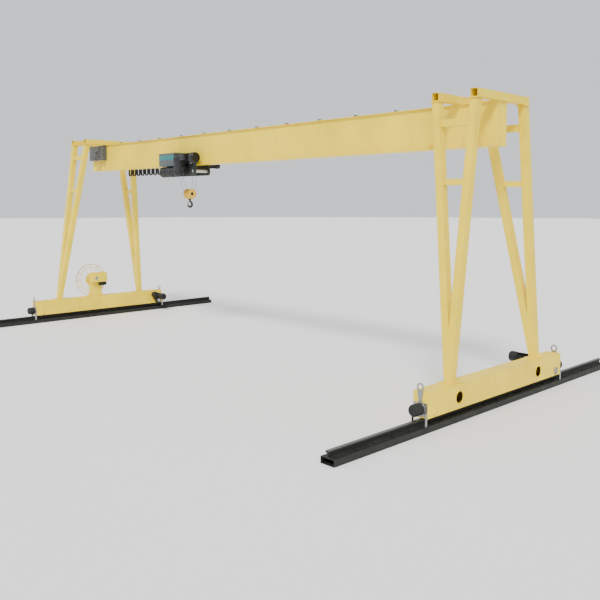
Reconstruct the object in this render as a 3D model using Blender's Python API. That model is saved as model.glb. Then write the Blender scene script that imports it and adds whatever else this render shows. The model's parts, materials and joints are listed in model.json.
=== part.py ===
"""Rail-mounted single-girder gantry crane with an underslung rope hoist.

Metres, +Z up. The girder runs along X, the rails along Y, and the front is -Y. The origin lies on the
ground, midway between the rails. Each body that moves has an empty on its joint, and its pieces hang on it.
"""

import math

import bmesh
import bpy
from mathutils import Matrix, Vector

GAP = 0.0003            # clearance between neighbouring pieces
BORE = 0.001            # what a bore has over its pin, in radius
MERGE = 1e-6
SIDES = {"left": -1, "right": 1}
ENDS = {"front": -1, "rear": 1}
AXES = {"X": Vector((1, 0, 0)), "Y": Vector((0, 1, 0)), "Z": Vector((0, 0, 1))}

# Track
RAIL_X = 10.0           # half of the 20 m rail gauge
TRACK_HALF = 6.0
BASE_WIDTH = 0.374
BASE_HEIGHT = 0.144
RAIL_TOP = 0.292
RAIL_HEAD = 0.100
RAIL_FOOT = 0.150
RAIL_WEB = 0.030
BASE_WALL = 0.012

# End carriages and crane wheels
CARRIAGE_WIDTH = 0.395
CARRIAGE_HALF = 3.055
CARRIAGE_BOTTOM = 0.328
CARRIAGE_TOP = 0.906
CARRIAGE_WALL = 0.012
WHEEL_Y = 2.80
WHEEL_RADIUS = 0.160
WHEEL_FLANGE = 0.185
WHEEL_Z = RAIL_TOP + WHEEL_RADIUS + GAP
AXLE_RADIUS = 0.035
HOLE_Y = 1.83
HOLE_Z = 0.590
HOLE_RADIUS = 0.140

# Legs and head beams
TUBE = 0.198
TUBE_WALL = 0.008
LEG_FOOT_Y = 1.95
LEG_HEAD_Y = 1.07
INNER_HEAD_X = 8.915
FOOT_PLATE = 0.020
HEAD_BEAM_HALF = 1.173
HEAD_BEAM_BOTTOM = 7.505
STRUTS = ((6.95, 0.180), (5.54, 0.150))     # height of the middle, depth

# Box girder
GIRDER_HALF = 10.05
FLANGE_WIDTH = 0.533
FLANGE_PLATE = 0.016
WEB_OUTSIDE = 0.200
WEB_PLATE = 0.008
GIRDER_BOTTOM = 6.425
GIRDER_TOP = HEAD_BEAM_BOTTOM - GAP

# Trolley
TROLLEY_X = -3.02
TROLLEY_TRAVEL = (-0.6, 10.2)
FRAME_HALF = 0.85
FRAME_Y = 0.300
FRAME_PLATE = 0.020
TROLLEY_WHEEL_X = 0.55
TROLLEY_WHEEL_RADIUS = 0.075
TROLLEY_WHEEL_Z = GIRDER_BOTTOM + FLANGE_PLATE + TROLLEY_WHEEL_RADIUS + GAP
PIN_RADIUS = 0.022
CROSS_TUBE_X = 0.67
CROSS_TUBE_Z = 6.20
CROSS_TUBE_RADIUS = 0.055

# Hoist
DRUM_LEFT = -3.96
GEARBOX_LEFT = -3.04
GEARBOX_RIGHT = -2.64
DRUM_Y = -0.50
DRUM_Z = 6.19
DRUM_RADIUS = 0.158
DRUM_FLANGE = 0.175
MOTOR_Y = -0.52
MOTOR_Z = 6.66

# Rope and hook block
ROPE_RADIUS = 0.006
ROPE_BEND = 1 / math.cos(math.pi / 16)      # keeps the rope's straight steps outside the pitch circle
BLOCK_Z = 5.38
SHEAVE_X = 0.11
SHEAVE_PITCH = 0.150
EQUALISER_PITCH = 0.110
EQUALISER_Y = 0.250
EQUALISER_Z = 6.17
HOUSING_RADIUS = 0.185
BOWL_Z = 4.99
BOWL_RADIUS = 0.055
SHANK_RADIUS = 0.030
SHEAVE_PIN = 0.025

# Festoon cable system
FESTOON_Y = 0.55
LOOPS = 8
LOOP_PITCH = 0.323
FIRST_CLAMP_X = -8.34
LOOP_BOTTOM = 6.17
FESTOON_RAIL_TOP = 7.47
ARM_PITCH = 1.49
ARM_FIRST_X = -8.29
ARMS = 12

# Cabinet and cable reel
CABINET = ((-9.98, -0.385, 6.87), (-8.83, -WEB_OUTSIDE - GAP, 7.47))
DOOR_THICK = 0.016
REEL_X = -10.12
REEL_Y = -0.40
REEL_Z = 1.636
REEL_RADIUS = 0.70
REEL_INNER = 0.55
SPOKES = 12

YELLOW = ((0.78, 0.62, 0.20), 0.45, 0.0)
BLACK = ((0.03, 0.03, 0.03), 0.5, 0.0)
DARK_STEEL = ((0.05, 0.05, 0.05), 0.55, 0.6)
GALVANISED = ((0.45, 0.46, 0.46), 0.4, 0.9)
PALE_GREY = ((0.60, 0.62, 0.60), 0.45, 0.2)
PANEL_GREY = ((0.30, 0.33, 0.35), 0.45, 0.1)
CABINET_GREY = ((0.20, 0.23, 0.27), 0.45, 0.1)
HOOK_YELLOW = ((0.80, 0.60, 0.05), 0.4, 0.0)
RUBBER = ((0.02, 0.02, 0.02), 0.8, 0.0)


def box(low, high):
    """A box between two corners, given in any order."""
    low, high = Vector(low), Vector(high)
    shape = bmesh.new()
    bmesh.ops.create_cube(shape, size=1.0)
    sides = Vector([abs(side) for side in high - low])
    bmesh.ops.scale(shape, vec=sides, verts=shape.verts)
    bmesh.ops.translate(shape, vec=(low + high) / 2, verts=shape.verts)
    return shape


def prism(axis, outline, low, high):
    """An outline drawn across the axis and extruded along it from low to high."""
    shape = bmesh.new()
    place = {"X": (low, "a", "b"), "Y": ("a", low, "b"), "Z": ("a", "b", low)}[axis]
    corners = []
    for a, b in outline:
        corners.append(shape.verts.new([{"a": a, "b": b}.get(item, low) for item in place]))
    face = shape.faces.new(corners)
    grown = bmesh.ops.extrude_face_region(shape, geom=[face])["geom"]
    moved = [item for item in grown if isinstance(item, bmesh.types.BMVert)]
    bmesh.ops.translate(shape, vec=AXES[axis] * (high - low), verts=moved)
    bmesh.ops.recalc_face_normals(shape, faces=shape.faces)
    return shape


def turned(axis, centre, profile, steps=24, loop=False):
    """A profile of (distance along, radius) points turned about the axis through centre."""
    shape = bmesh.new()
    verts = [shape.verts.new((radius, 0.0, along)) for along, radius in profile]
    pairs = list(zip(verts, verts[1:]))
    if loop:
        pairs.append((verts[-1], verts[0]))
    edges = [shape.edges.new(pair) for pair in pairs]
    bmesh.ops.spin(
        shape, geom=verts + edges, axis=(0, 0, 1), cent=(0, 0, 0), angle=math.tau, steps=steps, use_merge=True
    )
    bmesh.ops.remove_doubles(shape, verts=shape.verts, dist=MERGE)
    bmesh.ops.recalc_face_normals(shape, faces=shape.faces)
    turn = AXES["Z"].rotation_difference(AXES[axis]).to_matrix().to_4x4()
    shape.transform(Matrix.Translation(centre) @ turn)
    return shape


def rod(axis, centre, low, high, radius, steps=24):
    """A round bar along the axis, from low to high of the centre."""
    return turned(axis, centre, [(low, 0.0), (low, radius), (high, radius), (high, 0.0)], steps)


def vee(foot, heads, half, low, high):
    """Two square posts that part from one foot, as one sheared prism between two heights."""
    outer, inner = heads
    rise = outer.z - foot.z
    lean = (inner.x - foot.x) / rise
    sign = 1 if lean > 0 else -1
    start, end = lean * (low - foot.z), lean * (high - foot.z)
    fork = foot.z + 2 * half / abs(lean)
    near, far = -sign * half, sign * half
    outline = [(near, low), (far + start, low), (far + end, high), (near + end, high)]
    outline += [(far, fork), (far, high), (near, high)]
    shape = prism("Y", [(foot.x + a, b) for a, b in outline], -half, half)
    for vert in shape.verts:
        vert.co.y += foot.y + (outer.y - foot.y) * (vert.co.z - foot.z) / rise
    return shape


def arc(centre, radius, start, end, steps):
    """Points on an arc, from start to end in degrees."""
    points = []
    for step in range(steps + 1):
        angle = math.radians(start + (end - start) * step / steps)
        points.append((centre[0] + radius * math.cos(angle), centre[1] + radius * math.sin(angle)))
    return points


def sweep(path, radii, sides=10):
    """A round bar of changing radius along a path that lies in a plane of constant X."""
    shape = bmesh.new()
    rings = []
    for number, (x, y, z) in enumerate(path):
        before, after = path[max(number - 1, 0)], path[min(number + 1, len(path) - 1)]
        along = Vector((0.0, after[1] - before[1], after[2] - before[2])).normalized()
        across = Vector((0.0, along.z, -along.y))
        ring = []
        for side in range(sides):
            angle = math.tau * side / sides
            offset = across * math.cos(angle) + AXES["X"] * math.sin(angle)
            ring.append(shape.verts.new(Vector((x, y, z)) + offset * radii[number]))
        rings.append(ring)
    for first, second in zip(rings, rings[1:]):
        for side in range(sides):
            after = (side + 1) % sides
            shape.faces.new((first[side], first[after], second[after], second[side]))
    shape.faces.new(rings[0])
    shape.faces.new(rings[-1])
    bmesh.ops.recalc_face_normals(shape, faces=shape.faces)
    return shape


def material(name, finish):
    """A Principled material of one colour, roughness and metallic value."""
    colour, roughness, metallic = finish
    made = bpy.data.materials.new(name)
    made.use_nodes = True
    shader = made.node_tree.nodes["Principled BSDF"]
    shader.inputs["Base Color"].default_value = (*colour, 1.0)
    shader.inputs["Roughness"].default_value = roughness
    shader.inputs["Metallic"].default_value = metallic
    return made


def world_point(body):
    """Where a body's empty stands."""
    return body.location + (world_point(body.parent) if body.parent else Vector((0, 0, 0)))


def joint(name, point, parent=None):
    """An empty on a joint's axis, which carries the pieces of one body."""
    empty = bpy.data.objects.new(name, None)
    bpy.context.scene.collection.objects.link(empty)
    empty.parent = parent
    empty.location = Vector(point) - (world_point(parent) if parent else Vector((0, 0, 0)))
    return empty


def as_object(name, shape, body):
    """The shape as an object that hangs on the body's empty."""
    shape.transform(Matrix.Translation(-world_point(body)))
    mesh = bpy.data.meshes.new(name)
    shape.to_mesh(mesh)
    shape.free()
    mesh.shade_smooth()
    mesh.set_sharp_from_angle(angle=math.radians(30))
    made = bpy.data.objects.new(name, mesh)
    bpy.context.scene.collection.objects.link(made)
    made.parent = body
    return made


def solid(name, finish, body, shapes, cuts=(), inside=()):
    """One piece: its shapes joined, then its cuts taken away, then what stands inside joined on."""
    piece = as_object(name, shapes[0], body)
    steps = (("joined", "UNION", shapes[1:]), ("cut", "DIFFERENCE", cuts), ("inside", "UNION", inside))
    for label, operation, helpers in steps:
        for number, shape in enumerate(helpers):
            helper = as_object(f"{name}.{label}{number}", shape, body)
            helper.hide_render = True
            helper.display_type = "WIRE"
            change = piece.modifiers.new(helper.name, "BOOLEAN")
            change.operation = operation
            change.solver = "EXACT"
            change.object = helper
    piece.data.materials.append(material(name, finish))
    return piece


def track(body, side, x):
    """A hollow base beam with the crane rail welded on top."""
    half = [
        (BASE_WIDTH / 2, 0.0),
        (BASE_WIDTH / 2, BASE_HEIGHT),
        (RAIL_FOOT / 2, BASE_HEIGHT),
        (RAIL_FOOT / 2, BASE_HEIGHT + 0.012),
        (RAIL_WEB / 2, BASE_HEIGHT + 0.024),
        (RAIL_WEB / 2, RAIL_TOP - 0.050),
        (RAIL_HEAD / 2, RAIL_TOP - 0.038),
        (RAIL_HEAD / 2, RAIL_TOP - 0.006),
        (RAIL_HEAD / 2 - 0.006, RAIL_TOP),
    ]
    outline = [(x + a, b) for a, b in half] + [(x - a, b) for a, b in reversed(half)]
    inside = BASE_WIDTH / 2 - BASE_WALL
    hollow = box(
        (x - inside, -TRACK_HALF - 0.1, BASE_WALL), (x + inside, TRACK_HALF + 0.1, BASE_HEIGHT - BASE_WALL)
    )
    solid(f"track_{side}", DARK_STEEL, body, [prism("Y", outline, -TRACK_HALF, TRACK_HALF)], [hollow])


def end_carriage(body, side, sign):
    """A box carriage with wheel slots below, axle holes through both walls and access holes outside."""
    x, half = sign * RAIL_X, CARRIAGE_WIDTH / 2
    inner, floor, roof = half - CARRIAGE_WALL, CARRIAGE_BOTTOM + CARRIAGE_WALL, CARRIAGE_TOP - CARRIAGE_WALL
    length = CARRIAGE_HALF - CARRIAGE_WALL
    cuts = [box((x - inner, -length, floor), (x + inner, length, roof))]
    for end in ENDS.values():
        y = end * WHEEL_Y
        cuts.append(box((x - 0.09, y - 0.17, CARRIAGE_BOTTOM - 0.01), (x + 0.09, y + 0.17, floor + 0.01)))
        cuts.append(rod("X", (x, y, WHEEL_Z), -0.25, 0.25, AXLE_RADIUS + BORE))
        low, high = sorted((sign * (inner - 0.01), sign * (half + 0.01)))
        cuts.append(rod("X", (x, end * HOLE_Y, HOLE_Z), low, high, HOLE_RADIUS))
    shell = box((x - half, -CARRIAGE_HALF, CARRIAGE_BOTTOM), (x + half, CARRIAGE_HALF, CARRIAGE_TOP))
    solid(f"end_carriage_{side}", YELLOW, body, [shell], cuts)


def leg_frame(body, side, end_name):
    """Two square tubes that part from one foot plate, with two struts between them."""
    x, end = SIDES[side] * RAIL_X, ENDS[end_name]
    plate_low = CARRIAGE_TOP + GAP
    foot_z, head_z = plate_low + FOOT_PLATE, HEAD_BEAM_BOTTOM - GAP
    foot = Vector((x, end * LEG_FOOT_Y, foot_z))
    heads = [Vector((SIDES[side] * reach, end * LEG_HEAD_Y, head_z)) for reach in (RAIL_X, INNER_HEAD_X)]
    plate = box(
        (x - 0.19, end * LEG_FOOT_Y - 0.21, plate_low), (x + 0.19, end * LEG_FOOT_Y + 0.21, foot_z)
    )
    shapes = [plate, vee(foot, heads, TUBE / 2, foot_z - 0.008, head_z)]
    hollow = vee(foot, heads, TUBE / 2 - TUBE_WALL, foot_z + 0.006, head_z + 0.02)
    for height, depth in STRUTS:
        outer, inner = [foot.lerp(head, (height - foot_z) / (head_z - foot_z)) for head in heads]
        low, high = Vector((0, 0.06, depth / 2)), Vector((0, -0.06, -depth / 2))
        shapes.append(box(outer + low, inner + high))
    solid(f"leg_frame_{side}_{end_name}", YELLOW, body, shapes, [hollow])


def head_beam(body, name, x):
    """An open-ended square tube across the girder's top."""
    outer, inner = TUBE / 2, TUBE / 2 - TUBE_WALL
    bottom = HEAD_BEAM_BOTTOM
    tube = box((x - outer, -HEAD_BEAM_HALF, bottom), (x + outer, HEAD_BEAM_HALF, bottom + TUBE))
    hollow = box(
        (x - inner, -HEAD_BEAM_HALF - 0.1, bottom + TUBE_WALL),
        (x + inner, HEAD_BEAM_HALF + 0.1, bottom + TUBE - TUBE_WALL),
    )
    solid(name, YELLOW, body, [tube], [hollow])


def box_girder(body):
    """Two webs and two wide flanges, closed by end plates, with a cable hole and the trolley's stops."""
    lip, plate = FLANGE_WIDTH / 2, FLANGE_PLATE
    half = [
        (lip, GIRDER_BOTTOM),
        (lip, GIRDER_BOTTOM + plate),
        (WEB_OUTSIDE, GIRDER_BOTTOM + plate),
        (WEB_OUTSIDE, GIRDER_TOP - plate),
        (lip, GIRDER_TOP - plate),
        (lip, GIRDER_TOP),
    ]
    outline = half + [(-a, b) for a, b in reversed(half)]
    shapes = [prism("X", outline, -GIRDER_HALF, GIRDER_HALF)]
    reach = FRAME_HALF + 0.04
    for stop_x in (TROLLEY_X + TROLLEY_TRAVEL[0] - reach, TROLLEY_X + TROLLEY_TRAVEL[1] + reach):
        for sign in (-1, 1):
            low = (stop_x - 0.02, sign * (WEB_OUTSIDE - 0.002), GIRDER_BOTTOM + plate - 0.002)
            high = (stop_x + 0.02, sign * (lip - 0.004), GIRDER_BOTTOM + plate + 0.12)
            shapes.append(box(low, high))
    inner = WEB_OUTSIDE - WEB_PLATE
    length = GIRDER_HALF - 0.012
    hollow = box((-length, -inner, GIRDER_BOTTOM + plate), (length, inner, GIRDER_TOP - plate))
    cable_hole = rod("X", (-GIRDER_HALF, 0.0, 6.70), -0.05, 0.05, 0.04, 16)
    solid("box_girder", YELLOW, body, shapes, [hollow, cable_hole])


def end_bracket(body, name, x, end):
    """A plate on the carriage's end, with the lifting eye above, the buffer's seat and two rail sweeps."""
    near = end * (CARRIAGE_HALF + GAP)
    low, high = sorted((near, near + end * 0.014))
    eye_z, seat, neck, lug = 1.01, 0.19, 0.05, 0.075
    ring = arc((x, eye_z), 0.095, -40, 220, 16)
    half = [(seat, 0.36), (seat, 0.66), (neck, 0.67), (neck, 0.83), (lug, 0.84)]
    outline = [(x + a, b) for a, b in half] + ring + [(x - a, b) for a, b in reversed(half)]
    shapes = [prism("Y", outline, low, high)]
    for sign in (-1, 1):
        shapes.append(box((x + sign * 0.178, near + end * 0.002, 0.16), (x + sign * 0.190, near + end * 0.07, 0.44)))
    eye = rod("Y", (x, near, eye_z), -0.1, 0.1, 0.060, 20)
    solid(f"end_bracket_{name}", GALVANISED, body, shapes, [eye])


def buffer(body, name, x, end):
    """A rubber buffer on its seat."""
    start = CARRIAGE_HALF + 0.014 + 2 * GAP
    profile = [(0.0, 0.0), (0.0, 0.110), (0.02, 0.134), (0.23, 0.140), (0.27, 0.120), (0.27, 0.0)]
    profile = [(end * (start + along), radius) for along, radius in profile]
    solid(f"buffer_{name}", RUBBER, body, [turned("Y", (x, 0.0, 0.525), profile, 20)])


def travel_drive(body, side, sign):
    """A shaft-mounted gearbox with its motor pointing inboard, at the rear wheel."""
    face = RAIL_X - CARRIAGE_WIDTH / 2 - GAP
    motor_y, motor_z = WHEEL_Y - 0.18, 0.70
    low, high = sorted((sign * face, sign * (face - 0.16)))
    outline = arc((WHEEL_Y, 0.452), 0.13, -150, 0, 8) + arc((motor_y + 0.02, motor_z), 0.155, 20, 180, 10)
    motor = [(0.15, 0.0), (0.15, 0.140), (0.20, 0.140), (0.20, 0.128), (0.70, 0.128)]
    motor += [(0.70, 0.148), (0.86, 0.148), (0.88, 0.130), (0.88, 0.0)]
    motor = [(sign * (face - along), radius) for along, radius in motor]
    terminal = box(
        (sign * (face - 0.30), motor_y - 0.21, motor_z - 0.06), (sign * (face - 0.48), motor_y - 0.08, motor_z + 0.06)
    )
    shapes = [prism("X", outline, low, high), turned("X", (0.0, motor_y, motor_z), motor, 20), terminal]
    solid(f"travel_drive_{side}", BLACK, body, shapes)


def festoon_track(body):
    """A slotted rail for the cable carriers, on arms from the girder's top, with the fixed end clamp."""
    top, y = FESTOON_RAIL_TOP, FESTOON_Y
    section = [(y - 0.03, top - 0.05), (y - 0.03, top), (y + 0.03, top), (y + 0.03, top - 0.05)]
    section += [(y + 0.009, top - 0.05), (y + 0.009, top - 0.046), (y + 0.026, top - 0.046)]
    section += [(y + 0.026, top - 0.004), (y - 0.026, top - 0.004), (y - 0.026, top - 0.046)]
    section += [(y - 0.009, top - 0.046), (y - 0.009, top - 0.05)]
    shapes = [prism("X", section, -8.50, 8.25)]
    gusset = [(0.10, HEAD_BEAM_BOTTOM), (0.28, HEAD_BEAM_BOTTOM), (0.28, top - 0.002), (0.585, top - 0.002)]
    gusset += [(0.585, top + 0.03), (0.24, top + 0.14), (0.14, top + 0.14), (0.10, top + 0.06)]
    for number in range(ARMS):
        x = ARM_FIRST_X + number * ARM_PITCH
        shapes.append(prism("X", gusset, x - 0.02, x + 0.02))
    x = FIRST_CLAMP_X
    shapes.append(box((x - 0.056, y - 0.045, top - 0.16), (x + 0.056, y + 0.045, top - 0.048)))
    solid("festoon_track", GALVANISED, body, shapes)


def cabinet(body):
    """The control cabinet's shell, open at the front."""
    low, high = Vector(CABINET[0]), Vector(CABINET[1])
    wall = Vector((0.004, 0.004, 0.004))
    inside = box(low + wall - Vector((0, 0.05, 0)), high - wall)
    plate = box((low.x + 0.05, high.y - 0.016, low.z + 0.05), (high.x - 0.05, high.y - 0.012, high.z - 0.05))
    spacer = rod("Y", ((low.x + high.x) / 2, high.y, (low.z + high.z) / 2), -0.0145, -0.002, 0.05, 12)
    contactors = box(
        (low.x + 0.20, high.y - 0.10, low.z + 0.22), (high.x - 0.20, high.y - 0.013, low.z + 0.36)
    )
    solid("cabinet_shell", CABINET_GREY, body, [box(low, high)], [inside], [spacer, plate, contactors])


def cabinet_door(gantry, side, sign):
    """One leaf of the cabinet's double door, hinged on its outer edge."""
    low, high = Vector(CABINET[0]), Vector(CABINET[1])
    hinge_x = low.x if sign < 0 else high.x
    front = low.y - GAP
    pivot = joint(f"cabinet_door_{side}_hinge", (hinge_x, front - DOOR_THICK / 2, 0.0), gantry)
    middle = (low.x + high.x) / 2 + sign * 0.001
    leaf = box((hinge_x, front - DOOR_THICK, low.z), (middle, front, high.z))
    solid(f"cabinet_door_{side}", CABINET_GREY, pivot, [leaf])


def reel_stand(body):
    """The reel's pedestal, its gearbox, its motor and the shaft's end."""
    foot = CARRIAGE_TOP + GAP
    shapes = [
        box((-10.03, -0.56, foot), (-9.84, -0.03, 1.58)),
        box((-10.12, -0.66, foot), (-9.82, 0.07, foot + 0.016)),
        box((-10.03, -0.57, 1.54), (-9.66, 0.15, 1.95)),
        rod("X", (0.0, REEL_Y, REEL_Z), REEL_X + 0.046 + GAP, -10.0, 0.06, 20),
        rod("Y", (-9.75, 0.0, 1.46), -0.20, 0.12, 0.082),
    ]
    solid("reel_stand", YELLOW, body, shapes)


def annulus(x, outer, inner, half):
    """A flat ring about the reel's axis."""
    profile = [(x - half, inner), (x - half, outer), (x + half, outer), (x + half, inner)]
    return turned("X", (0.0, REEL_Y, REEL_Z), profile, 36, loop=True)


def cable_reel(body):
    """Two rings on spokes about a hub cone."""
    hub = [(REEL_X - 0.046, 0.0), (REEL_X - 0.046, 0.14), (REEL_X + 0.01, 0.27), (REEL_X + 0.046, 0.27)]
    shapes = [turned("X", (0.0, REEL_Y, REEL_Z), hub + [(REEL_X + 0.046, 0.0)], 20)]
    for spoke in range(SPOKES):
        bar = box((REEL_X - 0.012, -0.012, 0.20), (REEL_X + 0.010, 0.012, REEL_RADIUS - 0.01))
        turn = Matrix.Rotation(math.tau * spoke / SPOKES, 4, "X")
        bar.transform(Matrix.Translation((0.0, REEL_Y, REEL_Z)) @ turn)
        shapes.append(bar)
    shapes.append(annulus(REEL_X, REEL_RADIUS, REEL_RADIUS - 0.03, 0.030))
    shapes.append(annulus(REEL_X, REEL_INNER, REEL_INNER - 0.02, 0.022))
    solid("cable_reel", YELLOW, body, shapes)


def crane_wheel(gantry, side, end_name):
    """A double-flanged wheel with its axle."""
    x, y = SIDES[side] * RAIL_X, ENDS[end_name] * WHEEL_Y
    pivot = joint(f"crane_wheel_{side}_{end_name}_axle", (x, y, WHEEL_Z), gantry)
    half = [(0.197, 0.0), (0.197, AXLE_RADIUS), (0.100, AXLE_RADIUS), (0.100, 0.07), (0.070, 0.07)]
    half += [(0.070, WHEEL_FLANGE), (0.060, WHEEL_FLANGE), (0.0535, WHEEL_RADIUS)]
    profile = [(-a, r) for a, r in half] + [(a, r) for a, r in reversed(half)]
    solid(
        f"crane_wheel_{side}_{end_name}", DARK_STEEL, pivot, [turned("X", (x, y, WHEEL_Z), profile)]
    )


def frame_outline(notch):
    """The trolley side plate: corners cut off, and a notch in the lower edge where the ropes pass."""
    x, left, right = TROLLEY_X, TROLLEY_X - FRAME_HALF, TROLLEY_X + FRAME_HALF
    bottom, top = 6.05, 6.60
    outline = [(left, bottom + 0.06), (left + 0.06, bottom)]
    if notch:
        outline += [(x - 0.46, bottom), (x - 0.40, bottom + 0.25), (x + 0.30, bottom + 0.25), (x + 0.36, bottom)]
    outline += [(right - 0.06, bottom), (right, bottom + 0.06), (right, top - 0.10), (right - 0.10, top)]
    return outline + [(left + 0.10, top), (left, top - 0.10)]


def frame_holes(low, high):
    """Holes for the wheel pins and the cross tubes, through one side plate."""
    holes = []
    for sign in (-1, 1):
        pin = (TROLLEY_X + sign * TROLLEY_WHEEL_X, 0.0, TROLLEY_WHEEL_Z)
        tube = (TROLLEY_X + sign * CROSS_TUBE_X, 0.0, CROSS_TUBE_Z)
        holes.append(rod("Y", pin, low - 0.01, high + 0.01, PIN_RADIUS + BORE))
        holes.append(rod("Y", tube, low - 0.01, high + 0.01, CROSS_TUBE_RADIUS + GAP))
    return holes


def front_frame(body):
    """The hoist side's plate."""
    low, high = -FRAME_Y - FRAME_PLATE, -FRAME_Y
    solid("trolley_frame_front", BLACK, body, [prism("Y", frame_outline(True), low, high)], frame_holes(low, high))


def rear_frame(body):
    """The far side's plate with the counterweight slab and the festoon's tow arm."""
    low, high = FRAME_Y, FRAME_Y + FRAME_PLATE
    x, last = TROLLEY_X, FIRST_CLAMP_X + LOOPS * LOOP_PITCH
    shapes = [
        prism("Y", frame_outline(False), low, high),
        box((x - 0.46, high - 0.002, 6.18), (x + 0.30, 0.60, 6.48)),
        box((x - 0.40, 0.38, 6.47), (x - 0.34, 0.43, 7.26)),
        box((last + 0.01, 0.38, 7.21), (x - 0.35, 0.43, 7.26)),
        box((last + 0.01, 0.42, 7.215), (last + 0.05, FESTOON_Y - 0.045 - GAP, 7.255)),
    ]
    solid("trolley_frame_rear", BLACK, body, shapes, frame_holes(low, high))


def subframe(body):
    """Two cross tubes under the girder, tied by a bar along it."""
    shapes = []
    hollows = []
    for sign in (-1, 1):
        centre = (TROLLEY_X + sign * CROSS_TUBE_X, 0.0, CROSS_TUBE_Z)
        shapes.append(rod("Y", centre, -FRAME_Y - FRAME_PLATE - 0.002, 0.44, CROSS_TUBE_RADIUS))
        hollows.append(rod("Y", centre, -0.45, 0.50, CROSS_TUBE_RADIUS - 0.010))
    reach = CROSS_TUBE_X - CROSS_TUBE_RADIUS + 0.004
    shapes.append(box((TROLLEY_X - reach, -0.04, 6.17), (TROLLEY_X + reach, 0.04, 6.23)))
    solid("trolley_subframe", PALE_GREY, body, shapes, hollows)


def electric_panel(body):
    """The hoist's electric panel, a shell with a cable gland's hole below."""
    low, high = Vector((-4.05, -0.66, 6.40)), Vector((-3.05, -FRAME_Y - FRAME_PLATE - GAP, 6.88))
    wall = Vector((0.004, 0.004, 0.004))
    gland = rod("Z", (-3.80, -0.45, low.z), -0.05, 0.05, 0.02, 12)
    solid("electric_panel", PANEL_GREY, body, [box(low, high)], [box(low + wall, high - wall), gland])


def hoist_gearbox(body):
    """A cast housing from the drum's axis up to the motor's."""
    outline = arc((DRUM_Y - 0.01, DRUM_Z), 0.19, 180, 335, 10) + [(-0.3203, 6.30), (-0.3203, 6.62)]
    outline += arc((MOTOR_Y, MOTOR_Z), 0.19, 20, 180, 10)
    solid("hoist_gearbox", BLACK, body, [prism("X", outline, GEARBOX_LEFT, GEARBOX_RIGHT)])


def hoist_motor(body):
    """A flanged motor with its fan cowl and terminal box."""
    start = GEARBOX_RIGHT + GAP
    profile = [(0.0, 0.0), (0.0, 0.185), (0.03, 0.185), (0.03, 0.165), (0.56, 0.165)]
    profile += [(0.56, 0.195), (0.74, 0.195), (0.77, 0.165), (0.77, 0.0)]
    profile = [(start + along, radius) for along, radius in profile]
    terminal = box((start + 0.18, MOTOR_Y - 0.25, MOTOR_Z - 0.07), (start + 0.40, MOTOR_Y - 0.14, MOTOR_Z + 0.09))
    solid("hoist_motor", BLACK, body, [turned("X", (0.0, MOTOR_Y, MOTOR_Z), profile, 28), terminal])


def drum_guard(body):
    """A curved cover on the drum's outer side, with the plate and boss that carry its free end."""
    centre = (DRUM_Y, DRUM_Z)
    outline = arc(centre, 0.192, 80, 280, 18) + arc(centre, 0.186, 280, 80, 18)
    left = DRUM_LEFT - 0.012
    shapes = [
        prism("X", outline, left - 0.02, GEARBOX_LEFT - GAP),
        rod("X", (0.0, DRUM_Y, DRUM_Z), left - 0.025, left, 0.192, 36),
        box((left - 0.025, DRUM_Y, 6.08), (left, -FRAME_Y - FRAME_PLATE - GAP, 6.34)),
        rod("X", (0.0, DRUM_Y, DRUM_Z), left - 0.01, left + 0.05, 0.120),
    ]
    solid("drum_guard", BLACK, body, shapes)


def trolley_drive(body):
    """The trolley's travel gearmotor, on the rear side plate."""
    face = FRAME_Y + FRAME_PLATE + GAP
    x = TROLLEY_X + TROLLEY_WHEEL_X
    profile = [(0.43, 0.0), (0.43, 0.085), (0.78, 0.085), (0.78, 0.098), (0.92, 0.098), (0.94, 0.08), (0.94, 0.0)]
    shapes = [
        box((x - 0.11, face, 6.30), (x + 0.13, 0.44, 6.60)),
        turned("Y", (x + 0.02, 0.0, 6.415), profile, 20),
    ]
    solid("trolley_drive", BLACK, body, shapes)


def equaliser(body):
    """The fixed sheave that the rope turns over, on its pin."""
    groove = EQUALISER_PITCH - ROPE_RADIUS - GAP
    profile = [(-0.018, 0.0), (-0.018, groove + 0.015), (-0.008, groove), (0.008, groove)]
    profile += [(0.018, groove + 0.015), (0.018, 0.03), (FRAME_Y - EQUALISER_Y - GAP, 0.03)]
    profile += [(FRAME_Y - EQUALISER_Y - GAP, 0.0)]
    centre = (TROLLEY_X, EQUALISER_Y, EQUALISER_Z)
    solid("equaliser_sheave", DARK_STEEL, body, [turned("Y", centre, profile)])


def rope_drum(trolley):
    """A hollow drum with end flanges."""
    pivot = joint("drum_axis", (TROLLEY_X, DRUM_Y, DRUM_Z), trolley)
    left, right = DRUM_LEFT, GEARBOX_LEFT - GAP
    profile = [(left, 0.130), (left, DRUM_FLANGE), (left + 0.015, DRUM_FLANGE), (left + 0.015, DRUM_RADIUS)]
    profile += [(right - 0.015, DRUM_RADIUS), (right - 0.015, DRUM_FLANGE), (right, DRUM_FLANGE), (right, 0.130)]
    shape = turned("X", (0.0, DRUM_Y, DRUM_Z), profile, 32, loop=True)
    solid("rope_drum", DARK_STEEL, pivot, [shape])


def trolley_wheel(trolley, end_name, hand, sign):
    """A flanged wheel on its pin, running on the girder's lower lip."""
    x, end = TROLLEY_X + sign * TROLLEY_WHEEL_X, ENDS[end_name]
    name = f"trolley_wheel_{end_name}_{hand}"
    pivot = joint(f"{name}_pin", (x, end * 0.25, TROLLEY_WHEEL_Z), trolley)
    tread = TROLLEY_WHEEL_RADIUS
    profile = [(0.207, 0.0), (0.207, tread - 0.004), (0.211, tread), (0.2675, tread), (0.272, tread + 0.013)]
    profile += [(0.284, tread + 0.013), (0.284, PIN_RADIUS), (0.3195, PIN_RADIUS), (0.3195, 0.0)]
    profile = [(end * along, radius) for along, radius in profile]
    solid(name, DARK_STEEL, pivot, [turned("Y", (x, 0.0, TROLLEY_WHEEL_Z), profile, 20)])


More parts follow.
